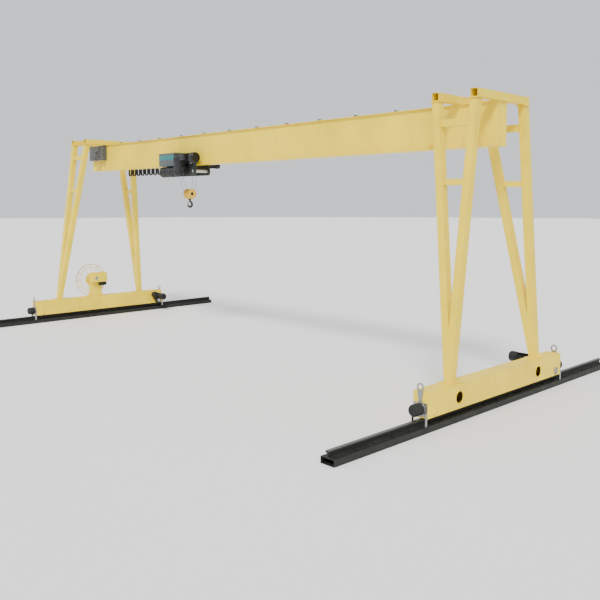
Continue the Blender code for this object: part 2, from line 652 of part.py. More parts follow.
def hook_block_frame(body):
    """Two round sheave housings, open above for the ropes, on a crosshead with the shank's hole."""
    shapes = [box((TROLLEY_X - 0.072, -0.07, 5.19), (TROLLEY_X + 0.072, 0.07, BLOCK_Z + 0.05))]
    cuts = []
    for sign in (-1, 1):
        x = TROLLEY_X + sign * SHEAVE_X
        shapes.append(rod("X", (x, 0.0, BLOCK_Z), -0.041, 0.041, HOUSING_RADIUS, 32))
        cuts.append(rod("X", (x, 0.0, BLOCK_Z), -0.033, 0.033, HOUSING_RADIUS - 0.017, 32))
        cuts.append(box((x - 0.032, -0.25, BLOCK_Z - 0.01), (x + 0.032, 0.25, BLOCK_Z + 0.25)))
    cuts.append(rod("X", (TROLLEY_X, 0.0, BLOCK_Z), -0.3, 0.3, SHEAVE_PIN + BORE))
    cuts.append(rod("Z", (TROLLEY_X, 0.0, 5.0), 0.10, 0.285, SHANK_RADIUS + BORE))
    solid("hook_block_frame", HOOK_YELLOW, body, shapes, cuts)


def block_sheaves(block):
    """Both sheaves of the hook block on their pin."""
    pivot = joint("sheave_pin", (TROLLEY_X, 0.0, BLOCK_Z), block)
    groove = SHEAVE_PITCH - ROPE_RADIUS - GAP
    half = [(0.150, 0.0), (0.150, SHEAVE_PIN), (SHEAVE_X + 0.022, SHEAVE_PIN), (SHEAVE_X + 0.022, groove + 0.014)]
    half += [(SHEAVE_X + 0.009, groove), (SHEAVE_X - 0.009, groove), (SHEAVE_X - 0.022, groove + 0.014)]
    half += [(SHEAVE_X - 0.022, SHEAVE_PIN)]
    profile = [(-a, r) for a, r in half] + [(a, r) for a, r in reversed(half)]
    solid("block_sheaves", DARK_STEEL, pivot, [turned("X", (TROLLEY_X, 0.0, BLOCK_Z), profile)])


def hook(block):
    """A forged single hook on its shank, and the sprung latch across its mouth."""
    pivot = joint("hook_swivel_axis", (TROLLEY_X, 0.0, 5.24), block)
    path = [(0.0, 5.280), (0.0, 5.165), (0.002, 5.135), (0.018, 5.104)]
    radii = [SHANK_RADIUS, SHANK_RADIUS, 0.033, 0.037]
    mean = BOWL_RADIUS + 0.036
    for step in range(11):
        share = step / 10
        angle = math.radians(62 - 262 * share)
        radius = 0.038 + 0.006 * math.sin(math.pi * share) - 0.022 * max(share - 0.6, 0) / 0.4
        reach = mean + 0.006 * math.sin(math.pi * share)
        path.append((reach * math.cos(angle), BOWL_Z + reach * math.sin(angle)))
        radii.append(radius)
    points = [(TROLLEY_X, y, z) for y, z in path]
    solid("hook", BLACK, pivot, [sweep(points, radii, 12)])
    hinge = Vector((TROLLEY_X, -0.040, 5.125))
    latch = joint("hook_latch_pin", hinge, pivot)
    barrel = rod("X", hinge, -0.022, 0.022, 0.007, 12)
    tip = Vector((TROLLEY_X, -0.068, 5.042))
    along = (tip - hinge).normalized()
    blade = box((-0.018, -0.0015, 0.0), (0.018, 0.0015, (tip - hinge).length))
    turn = AXES["Z"].rotation_difference(along).to_matrix().to_4x4()
    blade.transform(Matrix.Translation(hinge) @ turn)
    solid("hook_latch", GALVANISED, latch, [barrel, blade])


def hoist_rope(body):
    """One rope: off the drum, under a sheave, over the equaliser, under the other sheave and back."""
    left, right = TROLLEY_X - SHEAVE_X, TROLLEY_X + SHEAVE_X
    off_drum = DRUM_Y + DRUM_RADIUS + ROPE_RADIUS + GAP
    route = [(-3.30, off_drum, DRUM_Z)]
    for y, z in arc((0.0, BLOCK_Z), SHEAVE_PITCH * ROPE_BEND, 180, 360, 8):
        route.append((left, y, z))
    for x, z in arc((TROLLEY_X, EQUALISER_Z), EQUALISER_PITCH * ROPE_BEND, 180, 0, 8):
        route.append((x, EQUALISER_Y, z))
    for y, z in arc((0.0, BLOCK_Z), SHEAVE_PITCH * ROPE_BEND, 0, -180, 8):
        route.append((right, y, z))
    route.append((-3.10, off_drum, DRUM_Z))
    curve = bpy.data.curves.new("hoist_rope", "CURVE")
    curve.dimensions = "3D"
    curve.bevel_depth = ROPE_RADIUS
    curve.bevel_resolution = 2
    curve.use_fill_caps = True
    spline = curve.splines.new("POLY")
    spline.points.add(len(route) - 1)
    start = world_point(body)
    for point, place in zip(spline.points, route):
        point.co = (*(Vector(place) - start), 1.0)
    curve.materials.append(material("hoist_rope", GALVANISED))
    rope = bpy.data.objects.new("hoist_rope", curve)
    bpy.context.scene.collection.objects.link(rope)
    rope.parent = body


def festoon_carrier(gantry, number):
    """A cable carrier in the rail, with the flat cable's loop that hangs from its left side."""
    x = FIRST_CLAMP_X + number * LOOP_PITCH
    y, top = FESTOON_Y, FESTOON_RAIL_TOP
    pivot = joint(f"festoon_{number}_slide", (x, y, top), gantry)
    thick, saddle = 0.011, 0.056
    right = x - saddle - thick
    left = x - LOOP_PITCH + saddle + thick
    middle, radius = (left + right) / 2, (right - left) / 2
    bend = LOOP_BOTTOM + radius + thick
    under = top - 0.165
    outline = [(right - thick, bend), (right - thick, top - 0.10), (right + thick, top - 0.10)]
    outline += arc((middle, bend), radius + thick, 0, -180, 12)
    outline += [(left - thick, under), (left + thick, under)]
    outline += arc((middle, bend), radius - thick, 180, 360, 12)[:-1]
    shapes = [
        box((x - saddle - 0.004, y - 0.045, top - 0.155), (x + saddle, y + 0.045, top - 0.075)),
        box((x - 0.03, y - 0.007, top - 0.08), (x + 0.03, y + 0.007, top - 0.03)),
        box((x - 0.05, y - 0.022, top - 0.044), (x + 0.05, y + 0.022, top - 0.012)),
        prism("Y", outline, y - 0.04, y + 0.04),
    ]
    solid(f"festoon_carrier_{number}", RUBBER, pivot, shapes)


def fixed_structure(gantry):
    """Everything that is bolted to the gantry."""
    for side, sign in SIDES.items():
        end_carriage(gantry, side, sign)
        travel_drive(gantry, side, sign)
        for end_name, end in ENDS.items():
            leg_frame(gantry, side, end_name)
            end_bracket(gantry, f"{side}_{end_name}", sign * RAIL_X, end)
            buffer(gantry, f"{side}_{end_name}", sign * RAIL_X, end)
            crane_wheel(gantry, side, end_name)
        head_beam(gantry, f"head_beam_{side}_outer", sign * RAIL_X)
        head_beam(gantry, f"head_beam_{side}_inner", sign * INNER_HEAD_X)
    box_girder(gantry)
    festoon_track(gantry)
    cabinet(gantry)
    cabinet_door(gantry, "left", -1)
    cabinet_door(gantry, "right", 1)
    reel_stand(gantry)
    cable_reel(joint("reel_axis", (REEL_X, REEL_Y, REEL_Z), gantry))


def hoist_trolley(gantry):
    """The trolley, the hoist on it and the hook block below."""
    trolley = joint("trolley_slide", (TROLLEY_X, 0.0, TROLLEY_WHEEL_Z), gantry)
    for piece in (front_frame, rear_frame, subframe, electric_panel, hoist_gearbox, hoist_motor):
        piece(trolley)
    for piece in (drum_guard, trolley_drive, equaliser, rope_drum, hoist_rope):
        piece(trolley)
    for end_name in ENDS:
        for hand, sign in SIDES.items():
            trolley_wheel(trolley, end_name, hand, sign)
    block = joint("block_slide", (TROLLEY_X, 0.0, BLOCK_Z), trolley)
    hook_block_frame(block)
    block_sheaves(block)
    hook(block)


def build():
    """Clears the scene and makes the crane."""
    for item in list(bpy.data.objects):
        bpy.data.objects.remove(item)
    root = joint("track_root", (0.0, 0.0, 0.0))
    for side, sign in SIDES.items():
        track(root, side, sign * RAIL_X)
    gantry = joint("gantry_slide", (0.0, 0.0, RAIL_TOP), root)
    fixed_structure(gantry)
    hoist_trolley(gantry)
    for number in range(1, LOOPS + 1):
        festoon_carrier(gantry, number)


build()
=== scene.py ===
"""Looks for the rail-mounted gantry crane: camera, light, materials and the fine pieces on the CAD frame.

Metres, in the CAD's frame: the girder along X, the rails along Y, the front at -Y.
"""

import json
import math
import random

import bmesh
import bpy
from mathutils import Matrix, Vector

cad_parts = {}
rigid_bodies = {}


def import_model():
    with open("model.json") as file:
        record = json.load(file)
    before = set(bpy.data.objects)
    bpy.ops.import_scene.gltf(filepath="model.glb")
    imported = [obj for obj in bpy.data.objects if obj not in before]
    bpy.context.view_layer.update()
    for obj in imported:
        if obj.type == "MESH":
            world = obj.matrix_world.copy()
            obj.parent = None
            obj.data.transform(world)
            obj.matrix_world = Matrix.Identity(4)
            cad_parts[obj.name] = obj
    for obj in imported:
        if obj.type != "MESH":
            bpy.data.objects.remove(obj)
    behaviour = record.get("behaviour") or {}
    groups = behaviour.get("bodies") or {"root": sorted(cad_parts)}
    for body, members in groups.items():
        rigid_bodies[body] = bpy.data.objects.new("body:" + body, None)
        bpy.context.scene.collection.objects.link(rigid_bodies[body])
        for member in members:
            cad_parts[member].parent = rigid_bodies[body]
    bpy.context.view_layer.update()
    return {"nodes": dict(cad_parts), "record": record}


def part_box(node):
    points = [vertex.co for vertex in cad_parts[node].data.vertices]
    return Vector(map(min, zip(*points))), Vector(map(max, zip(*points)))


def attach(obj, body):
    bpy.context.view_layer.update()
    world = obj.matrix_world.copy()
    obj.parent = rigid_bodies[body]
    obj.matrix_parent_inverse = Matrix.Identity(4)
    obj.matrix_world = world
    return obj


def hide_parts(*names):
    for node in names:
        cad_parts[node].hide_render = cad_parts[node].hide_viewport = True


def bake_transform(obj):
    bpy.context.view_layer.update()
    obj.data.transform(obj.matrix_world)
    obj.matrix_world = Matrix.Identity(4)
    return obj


for item in list(bpy.data.objects):
    bpy.data.objects.remove(item)
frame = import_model()
NODES = frame["nodes"]
JOINTS = {item["name"]: Vector(item["pos_m"]) for item in frame["record"]["behaviour"]["joints"]}
AXES = {"X": Vector((1, 0, 0)), "Y": Vector((0, 1, 0)), "Z": Vector((0, 0, 1))}
SIDES = {"left": -1, "right": 1}
ENDS = {"front": -1, "rear": 1}
CHANCE = random.Random(7)

RAIL_X = 10.0
INNER_BEAM_X = 8.915
WHEEL_Y, WHEEL_Z = 2.80, 0.452
CARRIAGE_WALL = 0.1975
HOIST_MOTOR_Y, HOIST_MOTOR_Z = -0.52, 6.66
CROSS_TUBE_X, CROSS_TUBE_Z = 0.67, 6.20
TROLLEY_WHEEL_X = 0.55
SHARP_ANGLE = math.radians(32)
TROLLEY_X = JOINTS["hook_lift"].x
BLOCK_Z = JOINTS["hook_lift"].z
DRUM = JOINTS["drum_spin"]
ROPE_RADIUS = 0.006
ROPE_LEFT_X, ROPE_RIGHT_X = -3.30, -3.10
DRUM_ROPE_RADIUS = 0.1643
SHEAVE_X = 0.11
EQUALISER = Vector((TROLLEY_X, 0.25, 6.17))


# Camera, light and floor


def camera():
    """A camera at the photograph's angle, with its horizon a little above the middle."""
    data = bpy.data.cameras.new("camera")
    data.lens = 43.21
    data.sensor_width = 36.0
    data.shift_y = -0.0667
    data.clip_end = 500.0
    data.dof.use_dof = False
    made = bpy.data.objects.new("camera", data)
    turn, dip = math.radians(46.3), math.radians(4.59)
    ahead = Vector((-math.sin(turn) * math.cos(dip), math.cos(turn) * math.cos(dip), -math.sin(dip)))
    made.location = (19.43, -15.74, 5.068)
    made.rotation_euler = ahead.to_track_quat("-Z", "Y").to_euler()
    bpy.context.scene.collection.objects.link(made)
    bpy.context.scene.camera = made


def sun(name, direction, strength, angle, colour):
    """A soft lamp that shines along the direction."""
    data = bpy.data.lights.new(name, "SUN")
    data.energy = strength
    data.angle = math.radians(angle)
    data.color = colour
    made = bpy.data.objects.new(name, data)
    made.rotation_euler = Vector(direction).to_track_quat("-Z", "Y").to_euler()
    bpy.context.scene.collection.objects.link(made)


def studio():
    """Pale sky, a soft key from the camera's side, a weak fill and a pale floor."""
    world = bpy.data.worlds.new("studio")
    world.use_nodes = True
    back = world.node_tree.nodes["Background"]
    back.inputs["Color"].default_value = (0.93, 0.95, 1.0, 1.0)
    back.inputs["Strength"].default_value = 1.0
    bpy.context.scene.world = world
    sun("key", (-0.42, 0.58, -0.70), 3.8, 14, (1.0, 0.97, 0.92))
    sun("fill", (0.80, 0.30, -0.45), 0.45, 40, (0.92, 0.96, 1.0))
    mesh = bpy.data.meshes.new("floor")
    shape = bmesh.new()
    bmesh.ops.create_circle(shape, cap_ends=True, radius=220.0, segments=64)
    shape.to_mesh(mesh)
    shape.free()
    floor = bpy.data.objects.new("floor", mesh)
    bpy.context.scene.collection.objects.link(floor)
    floor.location.z = -0.001
    mesh.materials.append(flat_floor())


# Materials


def add(tree, kind, inputs=(), **settings):
    """A shader node with its settings made and its inputs given as values or linked sockets."""
    made = tree.nodes.new("ShaderNode" + kind)
    for key, value in settings.items():
        setattr(made, key, value)
    for key, value in dict(inputs).items():
        if isinstance(value, bpy.types.NodeSocket):
            tree.links.new(value, made.inputs[key])
        else:
            made.inputs[key].default_value = value
    return made


def maths(tree, operation, a, b=0.0):
    """One Math node's result."""
    return add(tree, "Math", {0: a, 1: b}, operation=operation).outputs[0]


def spread(tree, value, low, high, start=0.0, end=1.0):
    """The value's step from low to high, as start to end."""
    inputs = {"Value": value, "From Min": low, "From Max": high, "To Min": start, "To Max": end}
    return add(tree, "MapRange", inputs).outputs[0]


def mixed(tree, share, a, b):
    """Colour a with a share of colour b."""
    made = add(tree, "Mix", {0: share}, data_type="RGBA")
    for socket, colour in ((6, a), (7, b)):
        if isinstance(colour, bpy.types.NodeSocket):
            tree.links.new(colour, made.inputs[socket])
        else:
            made.inputs[socket].default_value = (*colour, 1.0)
    return made.outputs[2]


def noise(tree, place, scale, detail=4.0, stretch=(1.0, 1.0, 1.0)):
    """A noise pattern's strength, stretched along the axes."""
    moved = add(tree, "Mapping", {"Vector": place, "Scale": stretch}).outputs[0]
    made = add(tree, "TexNoise", {"Vector": moved, "Scale": scale, "Detail": detail})
    return made.outputs[0]


def shader(name):
    """A new material with its tree, its Principled node and the object's coordinates."""
    made = bpy.data.materials.new(name)
    made.use_nodes = True
    tree = made.node_tree
    return made, tree, tree.nodes["Principled BSDF"], add(tree, "TexCoord").outputs["Object"]


def flat_floor():
    """Pale matt concrete with almost no pattern."""
    made, tree, principled, place = shader("floor")
    cloud = noise(tree, place, 0.15, 3.0)
    colour = mixed(tree, cloud, (0.86, 0.86, 0.86), (0.90, 0.90, 0.90))
    tree.links.new(colour, principled.inputs["Base Color"])
    principled.inputs["Roughness"].default_value = 0.9
    return made


def coat(
    name, colour, rough=0.42, metal=0.0, edge=0.004, worn=(0.24, 0.20, 0.16), wear=0.5, dirt=0.35, grain=45.0
):
    """Paint or bare metal: slow colour drift, rain streaks, dust, worn edges and a fine surface grain."""
    made, tree, principled, place = shader(name)
    drift = spread(tree, noise(tree, place, 0.8, 5.0), 0.3, 0.7)
    dark = [channel * 0.86 for channel in colour]
    light = [min(channel * 1.06, 1.0) for channel in colour]
    base = mixed(tree, drift, dark, light)
    streak = noise(tree, place, 5.0, 6.0, (1.6, 1.6, 0.16))
    streak = maths(tree, "MULTIPLY", spread(tree, streak, 0.52, 0.78), dirt)
    soiled = [0.55 * channel + 0.04 for channel in colour]
    base = mixed(tree, streak, base, [channel * 0.72 for channel in soiled])
    round_edge = add(tree, "Bevel", {"Radius": edge}, samples=4).outputs[0]
    straight = add(tree, "NewGeometry").outputs["Normal"]
    same = add(tree, "VectorMath", {0: round_edge, 1: straight}, operation="DOT_PRODUCT").outputs["Value"]
    chips = spread(tree, noise(tree, place, 22.0, 6.0), 0.45, 0.62)
    rubbed = maths(tree, "MULTIPLY", spread(tree, same, 0.985, 0.93), chips)
    rubbed = maths(tree, "MULTIPLY", rubbed, wear)
    base = mixed(tree, rubbed, base, worn)
    tree.links.new(base, principled.inputs["Base Color"])
    fine = noise(tree, place, grain, 3.0)
    shine = spread(tree, noise(tree, place, 3.5, 5.0), 0.3, 0.7, rough - 0.07, rough + 0.10)
    shine = maths(tree, "ADD", shine, maths(tree, "MULTIPLY", streak, 0.35))
    tree.links.new(shine, principled.inputs["Roughness"])
    principled.inputs["Metallic"].default_value = metal
    principled.inputs["Specular IOR Level"].default_value = 0.3
    bump = add(tree, "Bump", {"Strength": 0.12, "Distance": 0.002, "Height": fine, "Normal": round_edge})
    tree.links.new(bump.outputs[0], principled.inputs["Normal"])
    return made


def bright_where(made, mask_of, colour=(0.20, 0.20, 0.19), rough=0.38):
    """Polished steel over the coat where the mask is 1, with its rubbed lines."""
    tree = made.node_tree
    principled = tree.nodes["Principled BSDF"]
    place = next(node for node in tree.nodes if node.type == "TEX_COORD").outputs["Object"]
    share = mask_of(tree, place)
    lines = noise(tree, place, 90.0, 3.0, (1.0, 0.02, 1.0))
    steel = mixed(tree, lines, [channel * 0.7 for channel in colour], colour)
    old = principled.inputs["Base Color"].links[0].from_socket
    tree.links.new(mixed(tree, share, old, steel), principled.inputs["Base Color"])
    tree.links.new(share, principled.inputs["Metallic"])
    old = principled.inputs["Roughness"].links[0].from_socket
    shine = add(tree, "Mix", {0: share, 2: old, 3: rough}).outputs[0]
    tree.links.new(shine, principled.inputs["Roughness"])
    return made


def rail_top(tree, place):
    """1 on the top of the rail's head."""
    height = add(tree, "SeparateXYZ", {0: place}).outputs[2]
    return spread(tree, height, 0.284, 0.2905)


def ring_about(centre, low, high):
    """A mask that is 1 between two radii about an axis along X, on both sides of the crane."""

    def mask(tree, place):
        parts = add(tree, "SeparateXYZ", {0: place})
        across = maths(tree, "SUBTRACT", maths(tree, "ABSOLUTE", parts.outputs[1]), abs(centre[0]))
        above = maths(tree, "SUBTRACT", parts.outputs[2], centre[1])
        flat = add(tree, "CombineXYZ", {0: across, 1: above})
        radius = add(tree, "VectorMath", {0: flat.outputs[0]}, operation="LENGTH").outputs["Value"]
        inside = maths(tree, "GREATER_THAN", radius, low)
        return maths(tree, "MULTIPLY", inside, maths(tree, "LESS_THAN", radius, high))

    return mask


YELLOW_PAINT = (0.90, 0.665, 0.018)
MATERIALS = {
    "yellow": coat("yellow", YELLOW_PAINT, 0.38, edge=0.005, worn=(0.45, 0.30, 0.10), dirt=0.16),
    "yellow_tube": coat(
        "yellow_tube", YELLOW_PAINT, 0.38, edge=0.016, worn=(0.62, 0.43, 0.08), wear=0.3, dirt=0.16
    ),
    "track": coat("track", (0.016, 0.018, 0.015), 0.6, edge=0.005, worn=(0.10, 0.07, 0.05), dirt=0.5),
    "galvanised": coat(
        "galvanised", (0.33, 0.34, 0.33), 0.42, 0.85, worn=(0.65, 0.65, 0.64), dirt=0.4, grain=120.0
    ),
    "zinc": coat("zinc", (0.58, 0.57, 0.54), 0.35, 0.9, edge=0.0015, worn=(0.4, 0.33, 0.25), grain=200.0),
    "rubber": coat(
        "rubber", (0.018, 0.018, 0.019), 0.72, edge=0.006, worn=(0.05, 0.05, 0.05), dirt=0.5, grain=260.0
    ),
    "cable": coat(
        "cable", (0.022, 0.022, 0.024), 0.55, edge=0.003, worn=(0.06, 0.06, 0.06), dirt=0.3, grain=180.0
    ),
    "black": coat(
        "black", (0.011, 0.012, 0.013), 0.42, edge=0.004, worn=(0.12, 0.12, 0.12), dirt=0.35, grain=160.0
    ),
    "frame": coat("frame", (0.030, 0.036, 0.034), 0.45, edge=0.003, worn=(0.20, 0.17, 0.14), dirt=0.4),
    "cabinet": coat("cabinet", (0.085, 0.092, 0.094), 0.45, edge=0.004, worn=(0.3, 0.32, 0.34), grain=320.0),
    "panel": coat("panel", (0.085, 0.105, 0.105), 0.42, edge=0.004, worn=(0.32, 0.34, 0.34), grain=320.0),
    "guard": coat("guard", (0.014, 0.016, 0.016), 0.45, edge=0.003, worn=(0.12, 0.12, 0.11), dirt=0.4),
    "arms": coat(
        "arms", (0.13, 0.14, 0.14), 0.5, 0.4, edge=0.003, worn=(0.3, 0.3, 0.29), dirt=0.4, grain=120.0
    ),
    # Dark olive for the rear bearing caps: painted shade standing in for the shade of the recess round them,
    # not a paint of their own.
    "olive": coat(
        "olive", (0.27, 0.26, 0.18), 0.5, edge=0.004, worn=(0.35, 0.33, 0.28), dirt=0.4, grain=120.0
    ),
    "teal": coat("teal", (0.02, 0.19, 0.185), 0.4, edge=0.002, worn=(0.3, 0.33, 0.345), grain=200.0),
    "pale": coat("pale", (0.58, 0.60, 0.58), 0.42, edge=0.004, worn=(0.35, 0.33, 0.30), dirt=0.45),
    "iron": coat(
        "iron", (0.085, 0.085, 0.088), 0.5, 0.3, edge=0.003, worn=(0.35, 0.34, 0.33), dirt=0.4, grain=90.0
    ),
    "steel": coat(
        "steel", (0.44, 0.44, 0.43), 0.3, 0.95, edge=0.002, worn=(0.6, 0.6, 0.6), dirt=0.3, grain=220.0
    ),
    "rope": coat(
        "rope", (0.23, 0.225, 0.21), 0.4, 0.8, edge=0.001, worn=(0.4, 0.4, 0.38), dirt=0.7, grain=400.0
    ),
    "hook_yellow": coat(
        "hook_yellow", (0.78, 0.50, 0.035), 0.38, edge=0.004, worn=(0.18, 0.15, 0.12), wear=0.9
    ),
    "hook_black": coat(
        "hook_black", (0.03, 0.03, 0.031), 0.45, edge=0.004, worn=(0.4, 0.39, 0.37), wear=0.9, grain=120.0
    ),
    "red": coat("red", (0.45, 0.03, 0.02), 0.42, edge=0.002),
    "brass": coat("brass", (0.62, 0.44, 0.17), 0.35, 0.95, edge=0.001, worn=(0.7, 0.55, 0.3)),
    "plastic": coat(
        "plastic", (0.72, 0.72, 0.70), 0.45, edge=0.002, worn=(0.8, 0.8, 0.8), wear=0.2, dirt=0.1
    ),
}
bright_where(MATERIALS["track"], rail_top)
WHEEL_PAINT = coat(
    "crane_wheel", (0.05, 0.05, 0.052), 0.5, edge=0.003, worn=(0.3, 0.3, 0.3), dirt=0.5, grain=90.0
)
bright_where(WHEEL_PAINT, ring_about((2.8, 0.4523), 0.153, 0.1615))
MATERIALS["crane_wheel"] = WHEEL_PAINT


# Shapes


def block(low, high, bevel=0.003, segments=2):
    """A box between two corners with rounded edges."""
    low, high = Vector(low), Vector(high)
    shape = bmesh.new()
    bmesh.ops.create_cube(shape, size=1.0)
    bmesh.ops.scale(shape, vec=[abs(side) for side in high - low], verts=shape.verts)
    bmesh.ops.translate(shape, vec=(low + high) / 2, verts=shape.verts)
    if bevel:
        bmesh.ops.bevel(
            shape, geom=shape.edges[:], offset=bevel, segments=segments, profile=0.5, affect="EDGES"
        )
    return shape


def prism(axis, outline, low, high, bevel=0.0):
    """An outline drawn across the axis and extruded along it from low to high, with its rims rounded."""
    shape = bmesh.new()
    place = {"X": (low, "a", "b"), "Y": ("a", low, "b"), "Z": ("a", "b", low)}[axis]
    corners = [shape.verts.new([{"a": a, "b": b}.get(item, low) for item in place]) for a, b in outline]
    face = shape.faces.new(corners)
    grown = bmesh.ops.extrude_face_region(shape, geom=[face])["geom"]
    far_rim = [item for item in grown if isinstance(item, bmesh.types.BMVert)]
    bmesh.ops.translate(shape, vec=AXES[axis] * (high - low), verts=far_rim)
    bmesh.ops.recalc_face_normals(shape, faces=shape.faces)
    if bevel:
        along = AXES[axis]
        rims = [edge for edge in shape.edges if abs((edge.verts[1].co - edge.verts[0].co).dot(along)) < 1e-6]
        bmesh.ops.bevel(shape, geom=rims, offset=bevel, segments=2, profile=0.5, affect="EDGES")
    return shape


def turned(axis, centre, profile, steps=48, loop=False):
    """A profile of (distance along, radius) points turned about the axis through centre."""
    shape = bmesh.new()
    verts = [shape.verts.new((radius, 0.0, along)) for along, radius in profile]
    pairs = list(zip(verts, verts[1:]))
    if loop:
        pairs.append((verts[-1], verts[0]))
    edges = [shape.edges.new(pair) for pair in pairs]
    bmesh.ops.spin(
        shape, geom=verts + edges, axis=(0, 0, 1), cent=(0, 0, 0), angle=math.tau, steps=steps, use_merge=True
    )
    bmesh.ops.remove_doubles(shape, verts=shape.verts, dist=1e-6)
    bmesh.ops.recalc_face_normals(shape, faces=shape.faces)
    turn = AXES["Z"].rotation_difference(AXES[axis]).to_matrix().to_4x4()
    shape.transform(Matrix.Translation(centre) @ turn)
    return shape


def rod(axis, centre, low, high, radius, rim=0.002, steps=32):
    """A round bar with softened rims."""
    rim = min(rim, radius / 3, (high - low) / 3)
    profile = [
        (low, 0.0), (low, radius - rim), (low + rim, radius), (high - rim, radius), (high, radius - rim)
    ]
    return turned(axis, centre, profile + [(high, 0.0)], steps)


def torus(axis, centre, radius, thick, steps=64, sides=10):
    """A ring of round bar."""
    profile = []
    for side in range(sides):
        angle = math.tau * side / sides
        profile.append((thick * math.sin(angle), radius + thick * math.cos(angle)))
    return turned(axis, centre, profile, steps, loop=True)


def bolt(axis, sign, centre, size):
    """A hexagon head on its washer, standing on the surface, with the thread's end on top."""
    centre = Vector(centre)
    washer = [(0.0, 0.0), (0.0, size * 1.05), (sign * size * 0.16, size * 1.05), (sign * size * 0.16, 0.0)]
    shape = turned(axis, centre, washer, 12)
    low, high = sign * size * 0.16, sign * size * 0.85
    head = [
        (low, 0.0), (low, size * 0.87), (high - sign * size * 0.08, size * 0.87), (high, size * 0.76),
        (high, 0.0)
    ]
    return [shape, turned(axis, centre, head, 6)]


def bolt_grid(axis, sign, xs, ys, zs, size):
    """Bolts at every combination of the places along X, Y and Z."""
    made = []
    for x in xs:
        for y in ys:
            for z in zs:
                made += bolt(axis, sign, (x, y, z), size)
    return made


def bolt_circle(axis, sign, centre, radius, count, size, start=0.0):
    """Bolts evenly round a circle."""
    made = []
    first, second = {"X": ("Y", "Z"), "Y": ("X", "Z"), "Z": ("X", "Y")}[axis]
    for number in range(count):
        angle = start + math.tau * number / count
        offset = AXES[first] * math.cos(angle) * radius + AXES[second] * math.sin(angle) * radius
        made += bolt(axis, sign, Vector(centre) + offset, size)
    return made


def tube(path, radius, sides=12, lobes=0, lay=0.08, depth=0.18):
    """A bar along a path. With lobes, its section is that many strands that twist once for each lay."""
    points = [Vector(point) for point in path]
    shape = bmesh.new()
    rings, turn = [], 0.0
    across = None
    for number, point in enumerate(points):
        before, after = points[max(number - 1, 0)], points[min(number + 1, len(points) - 1)]
        along = (after - before).normalized()
        if across is None:
            across = along.orthogonal().normalized()
        across = (across - along * across.dot(along)).normalized()
        side_way = along.cross(across)
        if number:
            turn += math.tau * (point - points[number - 1]).length / lay
        ring = []
        for side in range(sides):
            angle = math.tau * side / sides
            reach = radius[number] if isinstance(radius, list) else radius
            if lobes:
                reach *= 1.0 - depth + depth * abs(math.cos(lobes * angle / 2))
            bent = angle + (turn if lobes else 0.0)
            ring.append(
                shape.verts.new(point + (across * math.cos(bent) + side_way * math.sin(bent)) * reach)
            )
        rings.append(ring)
    for first, second in zip(rings, rings[1:]):
        for side in range(sides):
            after = (side + 1) % sides
            shape.faces.new((first[side], first[after], second[after], second[side]))
    shape.faces.new(rings[0][::-1])
    shape.faces.new(rings[-1])
    bmesh.ops.recalc_face_normals(shape, faces=shape.faces)
    return shape


def weld(start, end, radius=0.005, step=0.03):
    """A weld bead from start to end, a little uneven along its length."""
    start, end = Vector(start), Vector(end)
    count = max(int((end - start).length / step), 2)
    path = [start.lerp(end, number / count) for number in range(count + 1)]
    return tube(path, [radius * CHANCE.uniform(0.8, 1.15) for _ in path], 6)


def arc(centre, radius, start, end, steps):
    """Points on an arc, from start to end in degrees."""
    points = []
    for step in range(steps + 1):
        angle = math.radians(start + (end - start) * step / steps)
        points.append((centre[0] + radius * math.cos(angle), centre[1] + radius * math.sin(angle)))
    return points


def moved(shape, matrix):
    """The shape after the matrix."""
    shape.transform(matrix)
    return shape


def piece(name, finish, body, shapes, replaces=()):
    """One visible piece: its shapes in one mesh, with its material, on its body if one is named."""
    mesh = bpy.data.meshes.new(name)
    whole = bmesh.new()
    for shape in shapes:
        part = bpy.data.meshes.new("part")
        shape.to_mesh(part)
        shape.free()
        whole.from_mesh(part)
        bpy.data.meshes.remove(part)
    whole.to_mesh(mesh)
    whole.free()
    mesh.shade_smooth()
    mesh.set_sharp_from_angle(angle=SHARP_ANGLE)
    mesh.materials.append(MATERIALS[finish])
    made = bpy.data.objects.new(name, mesh)
    bpy.context.scene.collection.objects.link(made)
    if body:
        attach(made, body)
    if replaces:
        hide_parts(*replaces)
    return made


def dress(node, finish, bevel=0.0):
    """A CAD node's material, with its corners rounded by modifiers if a bevel is given."""
    item = NODES[node]
    item.data.materials.clear()
    item.data.materials.append(MATERIALS[finish])
    for polygon in item.data.polygons:
        polygon.material_index = 0
    if bevel:
        for polygon in item.data.polygons:
            polygon.use_smooth = True
        item.modifiers.new("weld", "WELD").merge_threshold = 1e-5
        rounded = item.modifiers.new("bevel", "BEVEL")
        rounded.width = bevel
        rounded.segments = 2
        rounded.limit_method = "ANGLE"
        rounded.angle_limit = SHARP_ANGLE
        rounded.harden_normals = True


# Track, carriages and legs


def track_details(side, x):
    """Clips and bolts along the rail's foot, and the weld beads on both sides of it."""
    clips, bolts = [], []
    for number in range(21):
        y = -5.85 + number * 0.585
        for sign in (-1, 1):
            edge = x + sign * 0.062
            outline = [(edge, 0.157), (edge, 0.176), (x + sign * 0.125, 0.164), (x + sign * 0.125, 0.144)]
            outline += [(x + sign * 0.0755, 0.144), (x + sign * 0.0755, 0.157)]
            clips.append(prism("Y", outline, y - 0.03, y + 0.03, 0.002))
            bolts += bolt("Z", 1, (x + sign * 0.098, y, 0.168), 0.013)
    piece(f"rail_clips_{side}", "track", "track", clips)
    piece(f"rail_clip_bolts_{side}", "track", "track", bolts)
    beads = []
    for sign in (-1, 1):
        beads.append(weld((x + sign * 0.0765, -6.0, 0.1455), (x + sign * 0.0765, 6.0, 0.1455), 0.0045, 0.04))
    piece(f"rail_welds_{side}", "track", "track", beads)


